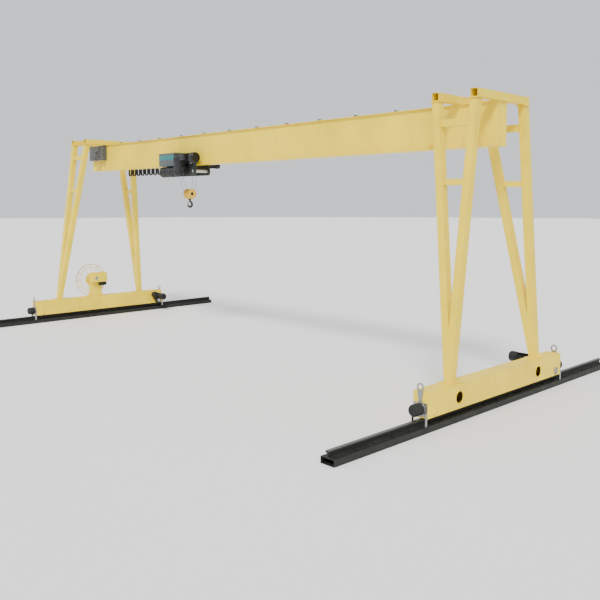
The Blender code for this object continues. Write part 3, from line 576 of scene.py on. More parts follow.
def carriage_details(side, sign):
    """Bearing caps on both walls, the rear ones dark olive as painted shade of their recess, rims round the
    access holes, seam welds and end-plate bolts.
    """
    x = sign * RAIL_X
    caps, bolts, beads, rims = {"front": [], "rear": []}, [], [], []
    for end_name, end in ENDS.items():
        for wall in (-1, 1):
            face = x + wall * CARRIAGE_WALL
            if wall == -sign and end > 0:
                continue
            centre = (face, end * WHEEL_Y, JOINTS["crane_wheel_left_rear_spin"].z)
            profile = [
                (0.0, 0.0), (0.0, 0.112), (0.010, 0.112), (0.013, 0.109), (0.013, 0.078), (0.030, 0.066)
            ]
            profile += [(0.034, 0.058), (0.034, 0.0)]
            caps[end_name].append(turned("X", centre, [(wall * a, b) for a, b in profile]))
            bolts += bolt_circle("X", wall, (face + wall * 0.013, centre[1], centre[2]), 0.094, 6, 0.009)
        rims.append(torus("X", (x + sign * CARRIAGE_WALL, end * 1.83, 0.59), 0.144, 0.006))
        bolts += bolt_grid("Y", end, (x - 0.165, x + 0.165), (end * 3.0695,), (0.39, 0.63), 0.009)
    for wall in (-1, 1):
        for height in (0.3285, 0.9055):
            bead = (x + wall * 0.1965, -3.05, height), (x + wall * 0.1965, 3.05, height)
            beads.append(weld(*bead, 0.004, 0.04))
    piece(f"bearing_caps_{side}_front", "yellow", "gantry", caps["front"])
    # The rear caps get the dark olive as painted shade of their recess; the front ones keep the yellow.
    piece(f"bearing_caps_{side}_rear", "olive", "gantry", caps["rear"])
    piece(f"carriage_bolts_{side}", "zinc", "gantry", bolts)
    piece(f"carriage_welds_{side}", "yellow", "gantry", beads)
    piece(f"access_hole_rims_{side}", "yellow", "gantry", rims)


def leg_details(side, end_name):
    """Foot bolts, stiffeners and welds at the foot, and bolted collars below the head beams."""
    x, end = SIDES[side] * RAIL_X, ENDS[end_name]
    y, sign = end * 1.95, -SIDES[side]
    plates, beads = [], []
    bolts = bolt_grid("Z", 1, (x - 0.155, x + 0.155), (y - 0.165, y, y + 0.165), (0.9263,), 0.014)
    for along in (-0.06, 0.06):
        outline = [
            (x - sign * 0.098, 0.926), (x - sign * 0.180, 0.926), (x - sign * 0.180, 0.945),
            (x - sign * 0.098, 1.06)
        ]
        plates.append(prism("Y", outline, y + along - 0.006, y + along + 0.006, 0.0015))
    for across in (-0.1, 0.1):
        beads.append(weld((x + across, y - 0.1, 0.929), (x + across, y + 0.1, 0.929), 0.006, 0.015))
        beads.append(weld((x - 0.1, y + across, 0.929), (x + 0.1, y + across, 0.929), 0.006, 0.015))
    for reach in (RAIL_X, INNER_BEAM_X):
        head = SIDES[side] * reach
        centre = Vector((head, end * 1.07, 7.494))
        for across, along in ((-1, 0), (1, 0), (0, -1), (0, 1)):
            low = centre + Vector(
                (across * 0.104 - 0.135 * abs(along), along * 0.104 - 0.104 * abs(across), -0.012)
            )
            high = centre + Vector(
                (across * 0.135 + 0.135 * abs(along), along * 0.135 + 0.104 * abs(across), 0.0105)
            )
            if end * along > 0:
                high.y, low.y = (min(high.y, 1.17), low.y) if end > 0 else (high.y, max(low.y, -1.17))
            if abs(high.y - low.y) > 0.01:
                plates.append(
                    block(
                        [min(a, b) for a, b in zip(low, high)], [max(a, b) for a, b in zip(low, high)], 0.0015
                    )
                )
        ys = (centre.y - 0.06, centre.y + 0.06)
        bolts += bolt_grid("Z", -1, (head - 0.118, head + 0.118), ys, (7.482,), 0.011)
    piece(f"leg_plates_{side}_{end_name}", "yellow", "gantry", plates)
    piece(f"leg_bolts_{side}_{end_name}", "zinc", "gantry", bolts)
    piece(f"leg_welds_{side}_{end_name}", "yellow", "gantry", beads)


def girder_details():
    """Fillet welds along the flanges, splice seams, end bolts and cleats that hold the head beams."""
    beads, bolts, plates = [], [], []
    for wall in (-1, 1):
        for height in (6.4435, 7.4865):
            beads.append(weld((-10.04, wall * 0.203, height), (10.04, wall * 0.203, height), 0.005, 0.05))
        for x in (-9.30, -8.55, -6.55, 0.0, 6.0, 9.30):
            beads.append(weld((x, wall * 0.2005, 6.445), (x, wall * 0.2005, 7.485), 0.006, 0.02))
    for x in (-RAIL_X, -INNER_BEAM_X, INNER_BEAM_X, RAIL_X):
        for side in (-1, 1):
            for y in (-0.17, 0.17):
                near, far = x + side * 0.0995, x + side * 0.165
                low, high = (min(near, far), y - 0.05, 7.505), (max(near, far), y + 0.05, 7.517)
                if high[0] < 10.06 and low[0] > -10.06:
                    plates.append(block(low, high, 0.0015))
                    rib = (min(near, near + side * 0.010), y - 0.05, 7.505), (
                        max(near, near + side * 0.010), y + 0.05, 7.575
                    )
                    plates.append(block(*rib, 0.0015))
                    bolts += bolt("Z", 1, (x + side * 0.14, y, 7.517), 0.012)
                    bolts += bolt("X", side, (x + side * 0.1095, y, 7.552), 0.010)
    for end in (-1, 1):
        bolts += bolt_grid("X", end, (end * 10.05,), (-0.15, 0.15), (6.60, 6.85, 7.10, 7.35), 0.012)
    piece("girder_welds", "yellow", "gantry", beads)
    piece("girder_cleats", "yellow", "gantry", plates)
    piece("girder_bolts", "zinc", "gantry", bolts)


def crane_wheel(side, end_name):
    """A smooth double-flanged wheel with a dished web and its axle."""
    name = f"crane_wheel_{side}_{end_name}"
    centre = JOINTS[f"{name}_spin"]
    half = [(0.197, 0.0), (0.197, 0.033), (0.195, 0.035), (0.100, 0.035), (0.100, 0.066), (0.096, 0.070)]
    half += [(0.050, 0.076), (0.046, 0.125), (0.056, 0.140), (0.068, 0.146), (0.070, 0.150), (0.070, 0.181)]
    half += [(0.067, 0.185), (0.062, 0.184), (0.0545, 0.163), (0.0525, 0.160)]
    profile = [(-a, b) for a, b in half] + [(a, b) for a, b in reversed(half)]
    piece(f"{name}_casting", "crane_wheel", name, [turned("X", centre, profile, 64)], [name])


def buffer(side, end_name):
    """A moulded rubber buffer on a steel disc."""
    x, end = SIDES[side] * RAIL_X, ENDS[end_name]
    start = 3.0696
    profile = [(0.010, 0.0), (0.010, 0.108), (0.018, 0.124), (0.040, 0.134), (0.110, 0.138), (0.205, 0.139)]
    profile += [(0.240, 0.135), (0.260, 0.122), (0.269, 0.100), (0.270, 0.070), (0.263, 0.035), (0.262, 0.0)]
    shape = turned("Y", (x, 0.0, 0.525), [(end * (start + a), b) for a, b in profile], 56)
    piece(f"buffer_rubber_{side}_{end_name}", "rubber", "gantry", [shape], [f"buffer_{side}_{end_name}"])
    plate = turned(
        "Y", (x, 0.0, 0.525),
        [
            (end * (start + a), b)
            for a, b in ((0.0, 0.0), (0.0, 0.140), (0.008, 0.142), (0.012, 0.139), (0.012, 0.0))
        ],
        48
    )
    bolts = bolt_grid("Y", end, (x - 0.15, x + 0.15), (end * 3.0693,), (0.41, 0.60), 0.011)
    piece(f"buffer_plate_{side}_{end_name}", "galvanised", "gantry", [plate])
    piece(f"buffer_bolts_{side}_{end_name}", "zinc", "gantry", bolts)


def finned_motor(axis, centre, start, end, sign, radius, fins=26):
    """A motor's body from start to end with fins along it, its end shields and its fan cowl with a grille."""
    span = end - start
    core = radius * 0.86
    body = [(start, 0.0), (start, radius), (start + 0.05 * span, radius), (start + 0.07 * span, core)]
    body += [(start + 0.66 * span, core), (start + 0.68 * span, radius), (start + 0.72 * span, radius)]
    body += [
        (start + 0.74 * span, radius * 1.08), (start + 0.94 * span, radius * 1.09),
        (start + 0.98 * span, radius * 1.03)
    ]
    body += [
        (end, radius * 0.94), (end, radius * 0.80), (end - 0.03 * span, radius * 0.78),
        (end - 0.03 * span, 0.0)
    ]
    shapes = [turned(axis, centre, [(sign * a, b) for a, b in body], 56)]
    basis = AXES["Z"].rotation_difference(AXES[axis] * sign).to_matrix().to_4x4()
    for number in range(fins):
        low, high = (core * 0.97, -0.0018, start + 0.05 * span), (radius, 0.0018, start + 0.68 * span)
        fin = block(low, high, 0.0008, 1)
        shapes.append(
            moved(fin, Matrix.Translation(centre) @ basis @ Matrix.Rotation(math.tau * number / fins, 4, "Z"))
        )
    for share in (0.22, 0.40, 0.58, 0.76):
        shapes.append(
            torus(axis, Vector(centre) + AXES[axis] * sign * (end - 0.008), radius * share, 0.0025, 40, 6)
        )
    for number in range(4):
        bar = block((0.02, -0.003, end - 0.012), (radius * 0.82, 0.003, end - 0.005), 0.001, 1)
        shapes.append(
            moved(
                bar,
                Matrix.Translation(centre) @ basis @ Matrix.Rotation(math.tau * (number + 0.5) / 4, 4, "Z")
            )
        )
    return shapes


def travel_drive(side, sign):
    """The gearbox with its ribs and hub cap, and its finned motor."""
    name = f"travel_drive_{side}"
    face = RAIL_X - 0.1978
    y, z = 2.62, 0.70
    outline = arc((WHEEL_Y, WHEEL_Z), 0.128, -150, 0, 14) + arc((y + 0.02, z), 0.153, 20, 180, 16)
    low, high = sorted((sign * face, sign * (face - 0.155)))
    inboard = sign * (face - 0.155)
    shapes = [prism("X", outline, low, high, 0.006)]
    shapes += finned_motor("X", (0.0, y, z), -(face - 0.150), -(face - 0.88), -sign, 0.136)
    terminal = block(
        (sign * (face - 0.305), y - 0.200, z - 0.055), (sign * (face - 0.475), y - 0.10, z + 0.055), 0.006
    )
    lid = block(
        (sign * (face - 0.300), y - 0.212, z - 0.061), (sign * (face - 0.480), y - 0.199, z + 0.061), 0.003
    )
    shapes += [terminal, lid, torus("X", (inboard - sign * 0.002, WHEEL_Y, WHEEL_Z), 0.105, 0.004)]
    for angle in range(5):
        rib = block((low + 0.03, -0.004, 0.13), (high - 0.03, 0.004, 0.161), 0.001, 1)
        turn = Matrix.Translation((0, y + 0.02, z)) @ Matrix.Rotation(math.radians(-60 + 30 * angle), 4, "X")
        shapes.append(moved(rib, turn))
    piece(f"{name}_casting", "black", "gantry", shapes, [name])
    bolts = bolt_circle("X", -sign, (inboard, WHEEL_Y, WHEEL_Z), 0.088, 6, 0.007)
    bolts += bolt_circle("X", -sign, (sign * (face - 0.158), y, z), 0.146, 8, 0.006, 0.2)
    lid_xs = (sign * (face - 0.315), sign * (face - 0.465))
    bolts += bolt_grid("Y", -1, lid_xs, (y - 0.212,), (z - 0.052, z + 0.052), 0.004)
    piece(f"{name}_bolts", "zinc", "gantry", bolts)
    hub = [(0.0, 0.0), (0.0, 0.070), (0.012, 0.070), (0.018, 0.060), (0.022, 0.030), (0.022, 0.0)]
    cap = turned("X", (inboard, WHEEL_Y, WHEEL_Z), [(-sign * a, b) for a, b in hub])
    piece(f"{name}_hub_cap", "pale", "gantry", [cap])


# Cable reel, cabinet and festoon


def reel():
    """Two tube rims on round spokes, a hub cone and its bolts."""
    centre = JOINTS["reel_spin"]
    x = centre.x
    shapes = [torus("X", centre, 0.682, 0.0175, 96, 12), torus("X", centre, 0.540, 0.0125, 80, 10)]
    for offset in (-0.026, 0.026):
        shapes.append(torus("X", (x + offset, centre.y, centre.z), 0.684, 0.009, 96, 8))
    for number in range(12):
        turn = Matrix.Translation(centre) @ Matrix.Rotation(math.tau * number / 12, 4, "X")
        shapes.append(moved(rod("Z", (0.0, 0.0, 0.0), 0.20, 0.676, 0.0125, 0.001, 12), turn))
        shapes.append(moved(block((-0.018, -0.018, 0.655), (0.018, 0.018, 0.678), 0.002), turn))
    piece("reel_rims", "yellow", "reel", shapes, ["cable_reel"])
    profile = [
        (-0.046, 0.0), (-0.046, 0.132), (-0.040, 0.140), (0.004, 0.258), (0.014, 0.268), (0.030, 0.270)
    ]
    profile += [(0.042, 0.268), (0.046, 0.262), (0.046, 0.0)]
    piece("reel_hub", "yellow", "reel", [turned("X", centre, profile, 56)])
    bolts = bolt_circle("X", -1, (x - 0.046, centre.y, centre.z), 0.105, 6, 0.010)
    bolts += bolt("X", -1, (x - 0.046, centre.y, centre.z), 0.026)
    piece("reel_hub_bolts", "zinc", "reel", bolts)


def reel_stand():
    """The pedestal with its foot and stiffeners, the gear case with its cover and hub, and the motor."""
    foot, right = 0.9063, -9.66
    shapes = [block((-10.03, -0.56, foot + 0.010), (-9.84, -0.03, 1.58), 0.006, 3)]
    shapes.append(block((-10.12, -0.66, foot), (-9.82, 0.07, foot + 0.016), 0.003))
    shapes.append(block((-10.03, -0.57, 1.54), (right, 0.15, 1.95), 0.012, 3))
    for y in (-0.62, 0.035):
        outline = [(-10.02, foot + 0.014), (-9.85, foot + 0.014), (-9.85, foot + 0.05), (-9.99, foot + 0.05)]
        shapes.append(prism("Y", outline, y - 0.005, y + 0.005, 0.001))
    for sign, edge in ((-1, -0.558), (1, -0.032)):
        outline = [(edge, foot + 0.014), (edge + sign * 0.09, foot + 0.014), (edge, foot + 0.15)]
        for x in (-10.00, -9.87):
            shapes.append(prism("X", outline, x - 0.005, x + 0.005, 0.001))
    shaft = [
        (0.044, 0.0), (0.044, 0.058), (-0.02, 0.060), (-0.022, 0.082), (-0.032, 0.086), (-0.045, 0.086),
        (-0.045, 0.0)
    ]
    shapes.append(
        turned(
            "X", (-10.0, JOINTS["reel_spin"].y, JOINTS["reel_spin"].z), [(-a - 0.029, b) for a, b in shaft]
        )
    )
    piece("reel_pedestal", "yellow", "gantry", shapes, ["reel_stand"])
    cover = [block((right - 0.002, -0.55, 1.56), (right + 0.008, 0.13, 1.93), 0.003)]
    piece("reel_gear_cover", "yellow", "gantry", cover)
    bolts = bolt_grid("X", 1, (right + 0.008,), (-0.53, -0.32, -0.10, 0.11), (1.58, 1.91), 0.008)
    bolts += bolt_grid("Z", 1, (-10.10, -9.835), (-0.64, -0.30, 0.05), (foot + 0.016,), 0.010)
    piece("reel_stand_bolts", "zinc", "gantry", bolts)
    motor = finned_motor("Y", (-9.75, 0.0, 1.46), -0.12, 0.20, -1, 0.080, 20)
    piece("reel_motor", "black", "gantry", motor)
    profile = [(0.0, 0.0), (0.0, 0.075), (0.006, 0.078), (0.014, 0.070), (0.018, 0.03), (0.018, 0.0)]
    hub = turned("X", (right + 0.008, -0.38, 1.72), profile)
    piece("reel_gear_hub", "galvanised", "gantry", [hub])


def cabinet_details():
    """Glands below the cabinet, a drip rail above it and the switchgear inside."""
    low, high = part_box("cabinet_shell")
    trim = [
        block((low.x - 0.004, low.y - 0.020, high.z - 0.004), (high.x + 0.004, high.y, high.z + 0.006), 0.002)
    ]
    piece("cabinet_drip_rail", "cabinet", "gantry", trim)
    glands = []
    for number in range(6):
        centre = (low.x + 0.20 + number * 0.14, -0.28, low.z)
        profile = [
            (0.0, 0.0), (0.0, 0.019), (-0.008, 0.019), (-0.008, 0.015), (-0.026, 0.014), (-0.030, 0.009),
            (-0.030, 0.0)
        ]
        glands.append(turned("Z", centre, profile, 6 if number % 2 else 24))
    piece("cabinet_glands", "plastic", "gantry", glands)
    gear, rails, faces = [], [], []
    front = -0.302
    for row, count in ((low.z + 0.46, 9), (low.z + 0.12, 14)):
        rails.append(block((low.x + 0.08, -0.222, row - 0.018), (high.x - 0.08, -0.214, row + 0.018), 0.001))
        wide = (high.x - low.x - 0.24) / count
        for number in range(count):
            left = low.x + 0.12 + number * wide
            gear.append(
                block((left, front + 0.02, row - 0.045), (left + wide * 0.88, -0.223, row + 0.045), 0.003)
            )
            faces.append(
                block(
                    (left + wide * 0.3, front + 0.012, row - 0.012),
                    (left + wide * 0.58, front + 0.021, row + 0.016), 0.002
                )
            )
    piece("switchgear", "plastic", "gantry", gear)
    piece("switchgear_rails", "zinc", "gantry", rails)
    piece("switchgear_levers", "black", "gantry", faces)


def cabinet_door(side, sign):
    """A door leaf's raised panel, louvres, hinges and handle."""
    low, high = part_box(f"cabinet_door_{side}")
    body = f"door_{side}"
    dress(f"cabinet_door_{side}", "cabinet")
    face = low.y
    shapes = [
        block(
            (low.x + 0.03, face - 0.004, low.z + 0.03), (high.x - 0.03, face + 0.001, high.z - 0.03), 0.0025
        )
    ]
    for number in range(7):
        z = low.z + 0.07 + number * 0.016
        shapes.append(block((low.x + 0.16, face - 0.009, z), (high.x - 0.16, face - 0.003, z + 0.007), 0.002))
    piece(f"door_panel_{side}", "cabinet", body, shapes)
    hinge_x = low.x if sign < 0 else high.x
    hinges = [rod("Z", (hinge_x, face - 0.006, high.z - 0.10), -0.04, 0.04, 0.008)]
    hinges.append(rod("Z", (hinge_x, face - 0.006, low.z + 0.10), -0.04, 0.04, 0.008))
    piece(f"door_hinges_{side}", "zinc", body, hinges)
    if sign > 0:
        knob_x = low.x + 0.05
        shapes = [block((knob_x - 0.02, face - 0.012, 7.12), (knob_x + 0.02, face - 0.003, 7.24), 0.004)]
        shapes.append(
            turned(
                "Y", (knob_x, face - 0.012, 7.20),
                [(0.0, 0.0), (0.0, 0.016), (-0.010, 0.014), (-0.022, 0.019), (-0.030, 0.015), (-0.030, 0.0)]
            )
        )
        piece("door_handle", "black", body, shapes)


def ribbon(path, half_width, half_thick, cores=7):
    """A flat cable along a path of (x, z) points, with its cores showing as ribs, centred on Y = 0."""
    shape = bmesh.new()
    section = []
    steps = cores * 4
    for side in (1, -1):
        for step in range(steps + 1):
            share = step / steps
            across = side * half_width * (2 * share - 1)
            rib = abs(math.sin(math.pi * cores * share))
            section.append((across, side * half_thick * (0.55 + 0.45 * rib)))
    rings = []
    for number, (x, z) in enumerate(path):
        before, after = path[max(number - 1, 0)], path[min(number + 1, len(path) - 1)]
        along = Vector((after[0] - before[0], 0.0, after[1] - before[1])).normalized()
        out = Vector((along.z, 0.0, -along.x))
        rings.append([shape.verts.new(Vector((x, a, z)) + out * b) for a, b in section])
    count = len(section)
    for first, second in zip(rings, rings[1:]):
        for side in range(count):
            after = (side + 1) % count
            shape.faces.new((first[side], first[after], second[after], second[side]))
    shape.faces.new(rings[0][::-1])
    shape.faces.new(rings[-1])
    bmesh.ops.recalc_face_normals(shape, faces=shape.faces)
    return shape


def festoon_carrier(number):
    """A carrier with its rollers, saddle and clamp, and the ribbed flat cable's loop on its left."""
    node, body = f"festoon_carrier_{number}", f"carrier_{number}"
    x, y, top = JOINTS[f"festoon_{number}"]
    right, left = x - 0.067, x - 0.323 + 0.067
    middle, radius = (left + right) / 2, (right - left) / 2
    bend = 6.181 + radius
    path = [(x - 0.02, top - 0.086), (x - 0.050, top - 0.089)] + arc(
        (right + 0.012, top - 0.105), 0.013, 110, 180, 4
    )
    path += [(right, z) for z in (7.2, 7.0, 6.8, 6.6, 6.4)]
    path += arc((middle, bend), radius, 0, -180, 20)
    path += [(left, z) for z in (6.4, 6.6, 6.8, 7.0, 7.2, top - 0.168)]
    cable = moved(ribbon(path, 0.039, 0.0095), Matrix.Translation((0.0, y, 0.0)))
    made = piece(f"festoon_cable_{number}", "cable", body, [cable], [node])
    steel = [block((x - 0.046, y - 0.021, top - 0.043), (x + 0.046, y + 0.021, top - 0.030), 0.003)]
    steel.append(block((x - 0.028, y - 0.006, top - 0.082), (x + 0.028, y + 0.006, top - 0.040), 0.002))
    for across in (-0.030, 0.030):
        for side in (-1, 1):
            steel.append(
                rod(
                    "Y", (x + across, y, top - 0.028), *sorted((side * 0.011, side * 0.023)), 0.0135, 0.001,
                    24
                )
            )
    piece(f"festoon_rollers_{number}", "zinc", body, steel)
    saddle = prism(
        "Y", arc((x, top - 0.135), 0.054, 0, 180, 14) + [(x - 0.054, top - 0.153), (x + 0.054, top - 0.153)],
        y - 0.044, y + 0.044, 0.003
    )
    strap = block((x - 0.040, y - 0.0455, top - 0.128), (x + 0.040, y + 0.0455, top - 0.118), 0.003)
    piece(f"festoon_saddle_{number}", "black", body, [saddle, strap])
    bolts = bolt("Y", -1, (x - 0.02, y - 0.0455, top - 0.123), 0.005) + bolt(
        "Y", -1, (x + 0.02, y - 0.0455, top - 0.123), 0.005
    )
    piece(f"festoon_clamp_bolts_{number}", "zinc", body, bolts)


def festoon_rail_details():
    """Bolts of the arms on the girder's flange and of the rail below them, and the end stops."""
    bolts, stops = [], []
    for number in range(12):
        x = -8.29 + number * 1.49
        for side in (-1, 1):
            near, far = sorted((x + side * 0.019, x + side * 0.055))
            stops.append(block((near, 0.12, 7.5055), (far, 0.26, 7.5155), 0.0015))
            bolts += bolt("Z", 1, (x + side * 0.038, 0.19, 7.5155), 0.009)
        bolts += bolt("Z", 1, (x, 0.55, 7.509), 0.008)
    for x in (-8.49, 8.235):
        stops.append(block((x - 0.008, 0.512, 7.405), (x + 0.008, 0.588, 7.478), 0.002))
    piece("festoon_arm_bolts", "zinc", "gantry", bolts)
    piece("festoon_arm_feet", "arms", "gantry", stops)


# Hoist trolley


def electric_panel():
    """The panel's lid with its coloured band, vents, screws and glands."""
    low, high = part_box("electric_panel")
    dress("electric_panel", "panel")
    face = low.y
    lid = [
        block(
            (low.x + 0.012, face - 0.010, low.z + 0.012), (high.x - 0.012, face + 0.002, high.z - 0.012),
            0.005, 3
        )
    ]
    for number in range(6):
        x = low.x + 0.72 + number * 0.03
        lid.append(block((x, face - 0.016, low.z + 0.06), (x + 0.014, face - 0.008, low.z + 0.15), 0.003))
    piece("panel_lid", "panel", "trolley", lid)
    band = block((low.x + 0.016, face - 0.0125, 6.63), (high.x - 0.016, face - 0.009, 6.79), 0.001)
    piece("panel_band", "teal", "trolley", [band])
    zs = (low.z + 0.035, low.z + 0.24, high.z - 0.035)
    bolts = bolt_grid("Y", -1, (low.x + 0.035, high.x - 0.035), (face - 0.011,), zs, 0.008)
    piece("panel_screws", "zinc", "trolley", bolts)
    glands = []
    for number in range(4):
        profile = [
            (0.0, 0.0), (0.0, 0.024), (-0.010, 0.024), (-0.010, 0.018), (-0.032, 0.017), (-0.036, 0.010),
            (-0.036, 0.0)
        ]
        glands.append(
            turned("Z", (low.x + 0.25 + number * 0.13, -0.45, low.z), profile, 6 if number % 2 else 24)
        )
    piece("panel_glands", "black", "trolley", glands)


def hoist_gearbox():
    """The cast housing with a raised cover, ribs, bolts, a plug and a lifting eye."""
    dress("hoist_gearbox", "black", 0.004)
    low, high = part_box("hoist_gearbox")
    right = high.x
    shapes = [
        turned(
            "X", (right, DRUM.y, DRUM.z),
            [
                (0.0, 0.0), (0.0, 0.150), (0.014, 0.150), (0.018, 0.145), (0.018, 0.07), (0.034, 0.055),
                (0.036, 0.0)
            ],
            56
        )
    ]
    for angle in range(6):
        rib = block((0.0, -0.005, 0.055), (0.030, 0.005, 0.140), 0.0015)
        shapes.append(
            moved(
                rib,
                Matrix.Translation((right, DRUM.y, DRUM.z)) @ Matrix.Rotation(math.tau * angle / 6, 4, "X")
            )
        )
    for x in (low.x + 0.10, low.x + 0.20, low.x + 0.30):
        outline = arc((HOIST_MOTOR_Y, HOIST_MOTOR_Z), 0.198, 20, 180, 18) + [(-0.700, 6.40), (-0.706, 6.19)]
        outline += arc((-0.51, 6.19), 0.198, 180, 240, 8) + [(-0.60, 6.3), (-0.60, 6.5)]
        shapes.append(prism("X", outline, x - 0.004, x + 0.004, 0.0015))
    piece("gearbox_covers", "black", "trolley", shapes)
    bolts = bolt_circle("X", 1, (right + 0.018, DRUM.y, DRUM.z), 0.133, 10, 0.008)
    bolts += bolt_circle("X", 1, (right + 0.031, HOIST_MOTOR_Y, HOIST_MOTOR_Z), 0.176, 8, 0.008, 0.2)
    piece("gearbox_bolts", "zinc", "trolley", bolts)
    eye = [
        torus("X", (low.x + 0.20, -0.52, 6.875), 0.026, 0.007, 40, 12),
        rod("Z", (low.x + 0.20, -0.52, 0.0), 6.835, 6.856, 0.02)
    ]
    piece("gearbox_eye", "galvanised", "trolley", eye)
    plug = bolt("Y", -1, (low.x + 0.20, -0.712, 6.26), 0.012)
    piece("gearbox_plug", "red", "trolley", plug)


def hoist_motor():
    """The finned motor with its fan cowl and terminal box."""
    low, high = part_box("hoist_motor")
    shapes = finned_motor("X", (0.0, HOIST_MOTOR_Y, HOIST_MOTOR_Z), low.x, high.x, 1, 0.180, 36)
    shapes.append(
        turned(
            "X", (0.0, HOIST_MOTOR_Y, HOIST_MOTOR_Z),
            [
                (low.x, 0.0), (low.x, 0.188), (low.x + 0.03, 0.190), (low.x + 0.033, 0.17),
                (low.x + 0.033, 0.0)
            ],
            56
        )
    )
    shapes.append(block((low.x + 0.16, -0.775, 6.58), (low.x + 0.42, -0.66, 6.76), 0.010, 3))
    shapes.append(block((low.x + 0.155, -0.785, 6.575), (low.x + 0.425, -0.769, 6.765), 0.004))
    piece("hoist_motor_body", "black", "trolley", shapes, ["hoist_motor"])
    bolts = bolt_grid("Y", -1, (low.x + 0.175, low.x + 0.405), (-0.785,), (6.595, 6.745), 0.006)
    piece("hoist_motor_bolts", "zinc", "trolley", bolts)


def rope_drum():
    """A grooved drum with its flanges, and the rope's turns wound on it."""
    low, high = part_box("rope_drum")
    left, right = low.x, high.x
    pitch = 0.0135
    profile = [
        (left, 0.130), (left, 0.172), (left + 0.003, 0.175), (left + 0.012, 0.175), (left + 0.015, 0.170),
        (left + 0.015, 0.157)
    ]
    start, count = left + 0.03, int((right - left - 0.06) / pitch)
    for number in range(count):
        for share, radius in ((0.0, 0.1585), (0.25, 0.1565), (0.5, 0.1555), (0.75, 0.1565)):
            profile.append((start + (number + share) * pitch, radius))
    profile += [
        (right - 0.015, 0.157), (right - 0.015, 0.170), (right - 0.012, 0.175), (right - 0.003, 0.175),
        (right, 0.172), (right, 0.130)
    ]
    piece(
        "drum_barrel", "iron", "drum", [turned("X", (0.0, DRUM.y, DRUM.z), profile, 64, loop=True)],
        ["rope_drum"]
    )
    coils = []
    for begin, way in ((ROPE_LEFT_X, -1), (ROPE_RIGHT_X, 1)):
        turns = 14 if way < 0 else 2
        path = []
        for step in range(turns * 36 + 1):
            angle = math.tau * step / 36
            across, above = DRUM_ROPE_RADIUS * math.cos(angle), DRUM_ROPE_RADIUS * math.sin(angle)
            path.append((begin + way * pitch * angle / math.tau, DRUM.y + across, DRUM.z + above))
        coils.append(tube(path, ROPE_RADIUS, 12, 6, 0.09))
    piece("drum_rope", "rope", "drum", coils)


def drum_guard():
    """Bands and bolts on the drum's cover, and the bearing's cover at its free end."""
    dress("drum_guard", "guard", 0.0015)
    low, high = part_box("drum_guard")
    bands = []
    for x in (low.x + 0.03, low.x + 0.33, low.x + 0.63, high.x - 0.03):
        outline = arc((DRUM.y, DRUM.z), 0.1975, 78, 282, 40) + arc((DRUM.y, DRUM.z), 0.1915, 282, 78, 40)
        bands.append(prism("X", outline, x - 0.02, x + 0.02, 0.001))
    profile = [
        (0.0, 0.0), (0.0, 0.095), (-0.016, 0.095), (-0.020, 0.090), (-0.020, 0.05), (-0.034, 0.042),
        (-0.034, 0.0)
    ]
    bands.append(turned("X", (low.x, DRUM.y, DRUM.z), profile))
    piece("drum_guard_bands", "guard", "trolley", bands)
    bolts = bolt_circle("X", -1, (low.x - 0.020, DRUM.y, DRUM.z), 0.072, 6, 0.007)
    bolts += bolt_circle("X", -1, (low.x, DRUM.y, DRUM.z), 0.165, 10, 0.006)
    piece("drum_guard_bolts", "zinc", "trolley", bolts)


def trolley_frames():
    """Bearing caps, tube collars and bolts on the side plates."""
    dress("trolley_frame_front", "frame", 0.002)
    dress("trolley_frame_rear", "frame", 0.002)
    z = JOINTS["trolley_travel"].z
    caps, bolts, collars = [], [], []
    for end in (-1, 1):
        x = TROLLEY_X - end * TROLLEY_WHEEL_X
        profile = [
            (0.0, 0.0), (0.0, 0.052), (0.012, 0.052), (0.015, 0.048), (0.015, 0.02), (0.022, 0.016),
            (0.022, 0.0)
        ]
        caps.append(turned("Y", (x, end * 0.3202, z), [(end * a, b) for a, b in profile]))
        bolts += bolt_circle("Y", end, (x, end * 0.335, z), 0.038, 4, 0.005, 0.785)
    for sign in (-1, 1):
        x = TROLLEY_X + sign * CROSS_TUBE_X
        collars.append(torus("Y", (x, 0.3225, CROSS_TUBE_Z), 0.0575, 0.005))
        collars.append(torus("Y", (x, -0.2985, CROSS_TUBE_Z), 0.0575, 0.005))
        collars.append(torus("Y", (x, 0.2985, CROSS_TUBE_Z), 0.0575, 0.005))
    piece("trolley_bearing_caps", "pale", "trolley", caps)
    piece("trolley_collars", "frame", "trolley", collars)
    xs = [TROLLEY_X + offset for offset in (-0.42, -0.20, 0.05, 0.26)]
    bolts += bolt_grid("Y", 1, xs, (0.6,), (6.22, 6.44), 0.011)
    piece("trolley_bolts", "zinc", "trolley", bolts)


def trolley_subframe():
    """Smooth cross tubes with the tie bar between them."""
    shapes = []
    for sign in (-1, 1):
        x = TROLLEY_X + sign * CROSS_TUBE_X
        profile = [
            (-0.322, 0.046), (-0.322, 0.053), (-0.320, 0.055), (0.438, 0.055), (0.440, 0.053), (0.440, 0.046)
        ]
        shapes.append(turned("Y", (x, 0.0, CROSS_TUBE_Z), profile, 48, loop=True))
    shapes.append(block((TROLLEY_X - 0.618, -0.04, 6.17), (TROLLEY_X + 0.618, 0.04, 6.23), 0.004))
    for sign in (-1, 1):
        outline = [
            (TROLLEY_X + sign * 0.618, 6.228), (TROLLEY_X + sign * 0.618, 6.25),
            (TROLLEY_X + sign * 0.52, 6.228)
        ]
        shapes.append(prism("Y", outline, -0.004, 0.004))
    piece("trolley_cross_tubes", "pale", "trolley", shapes, ["trolley_subframe"])


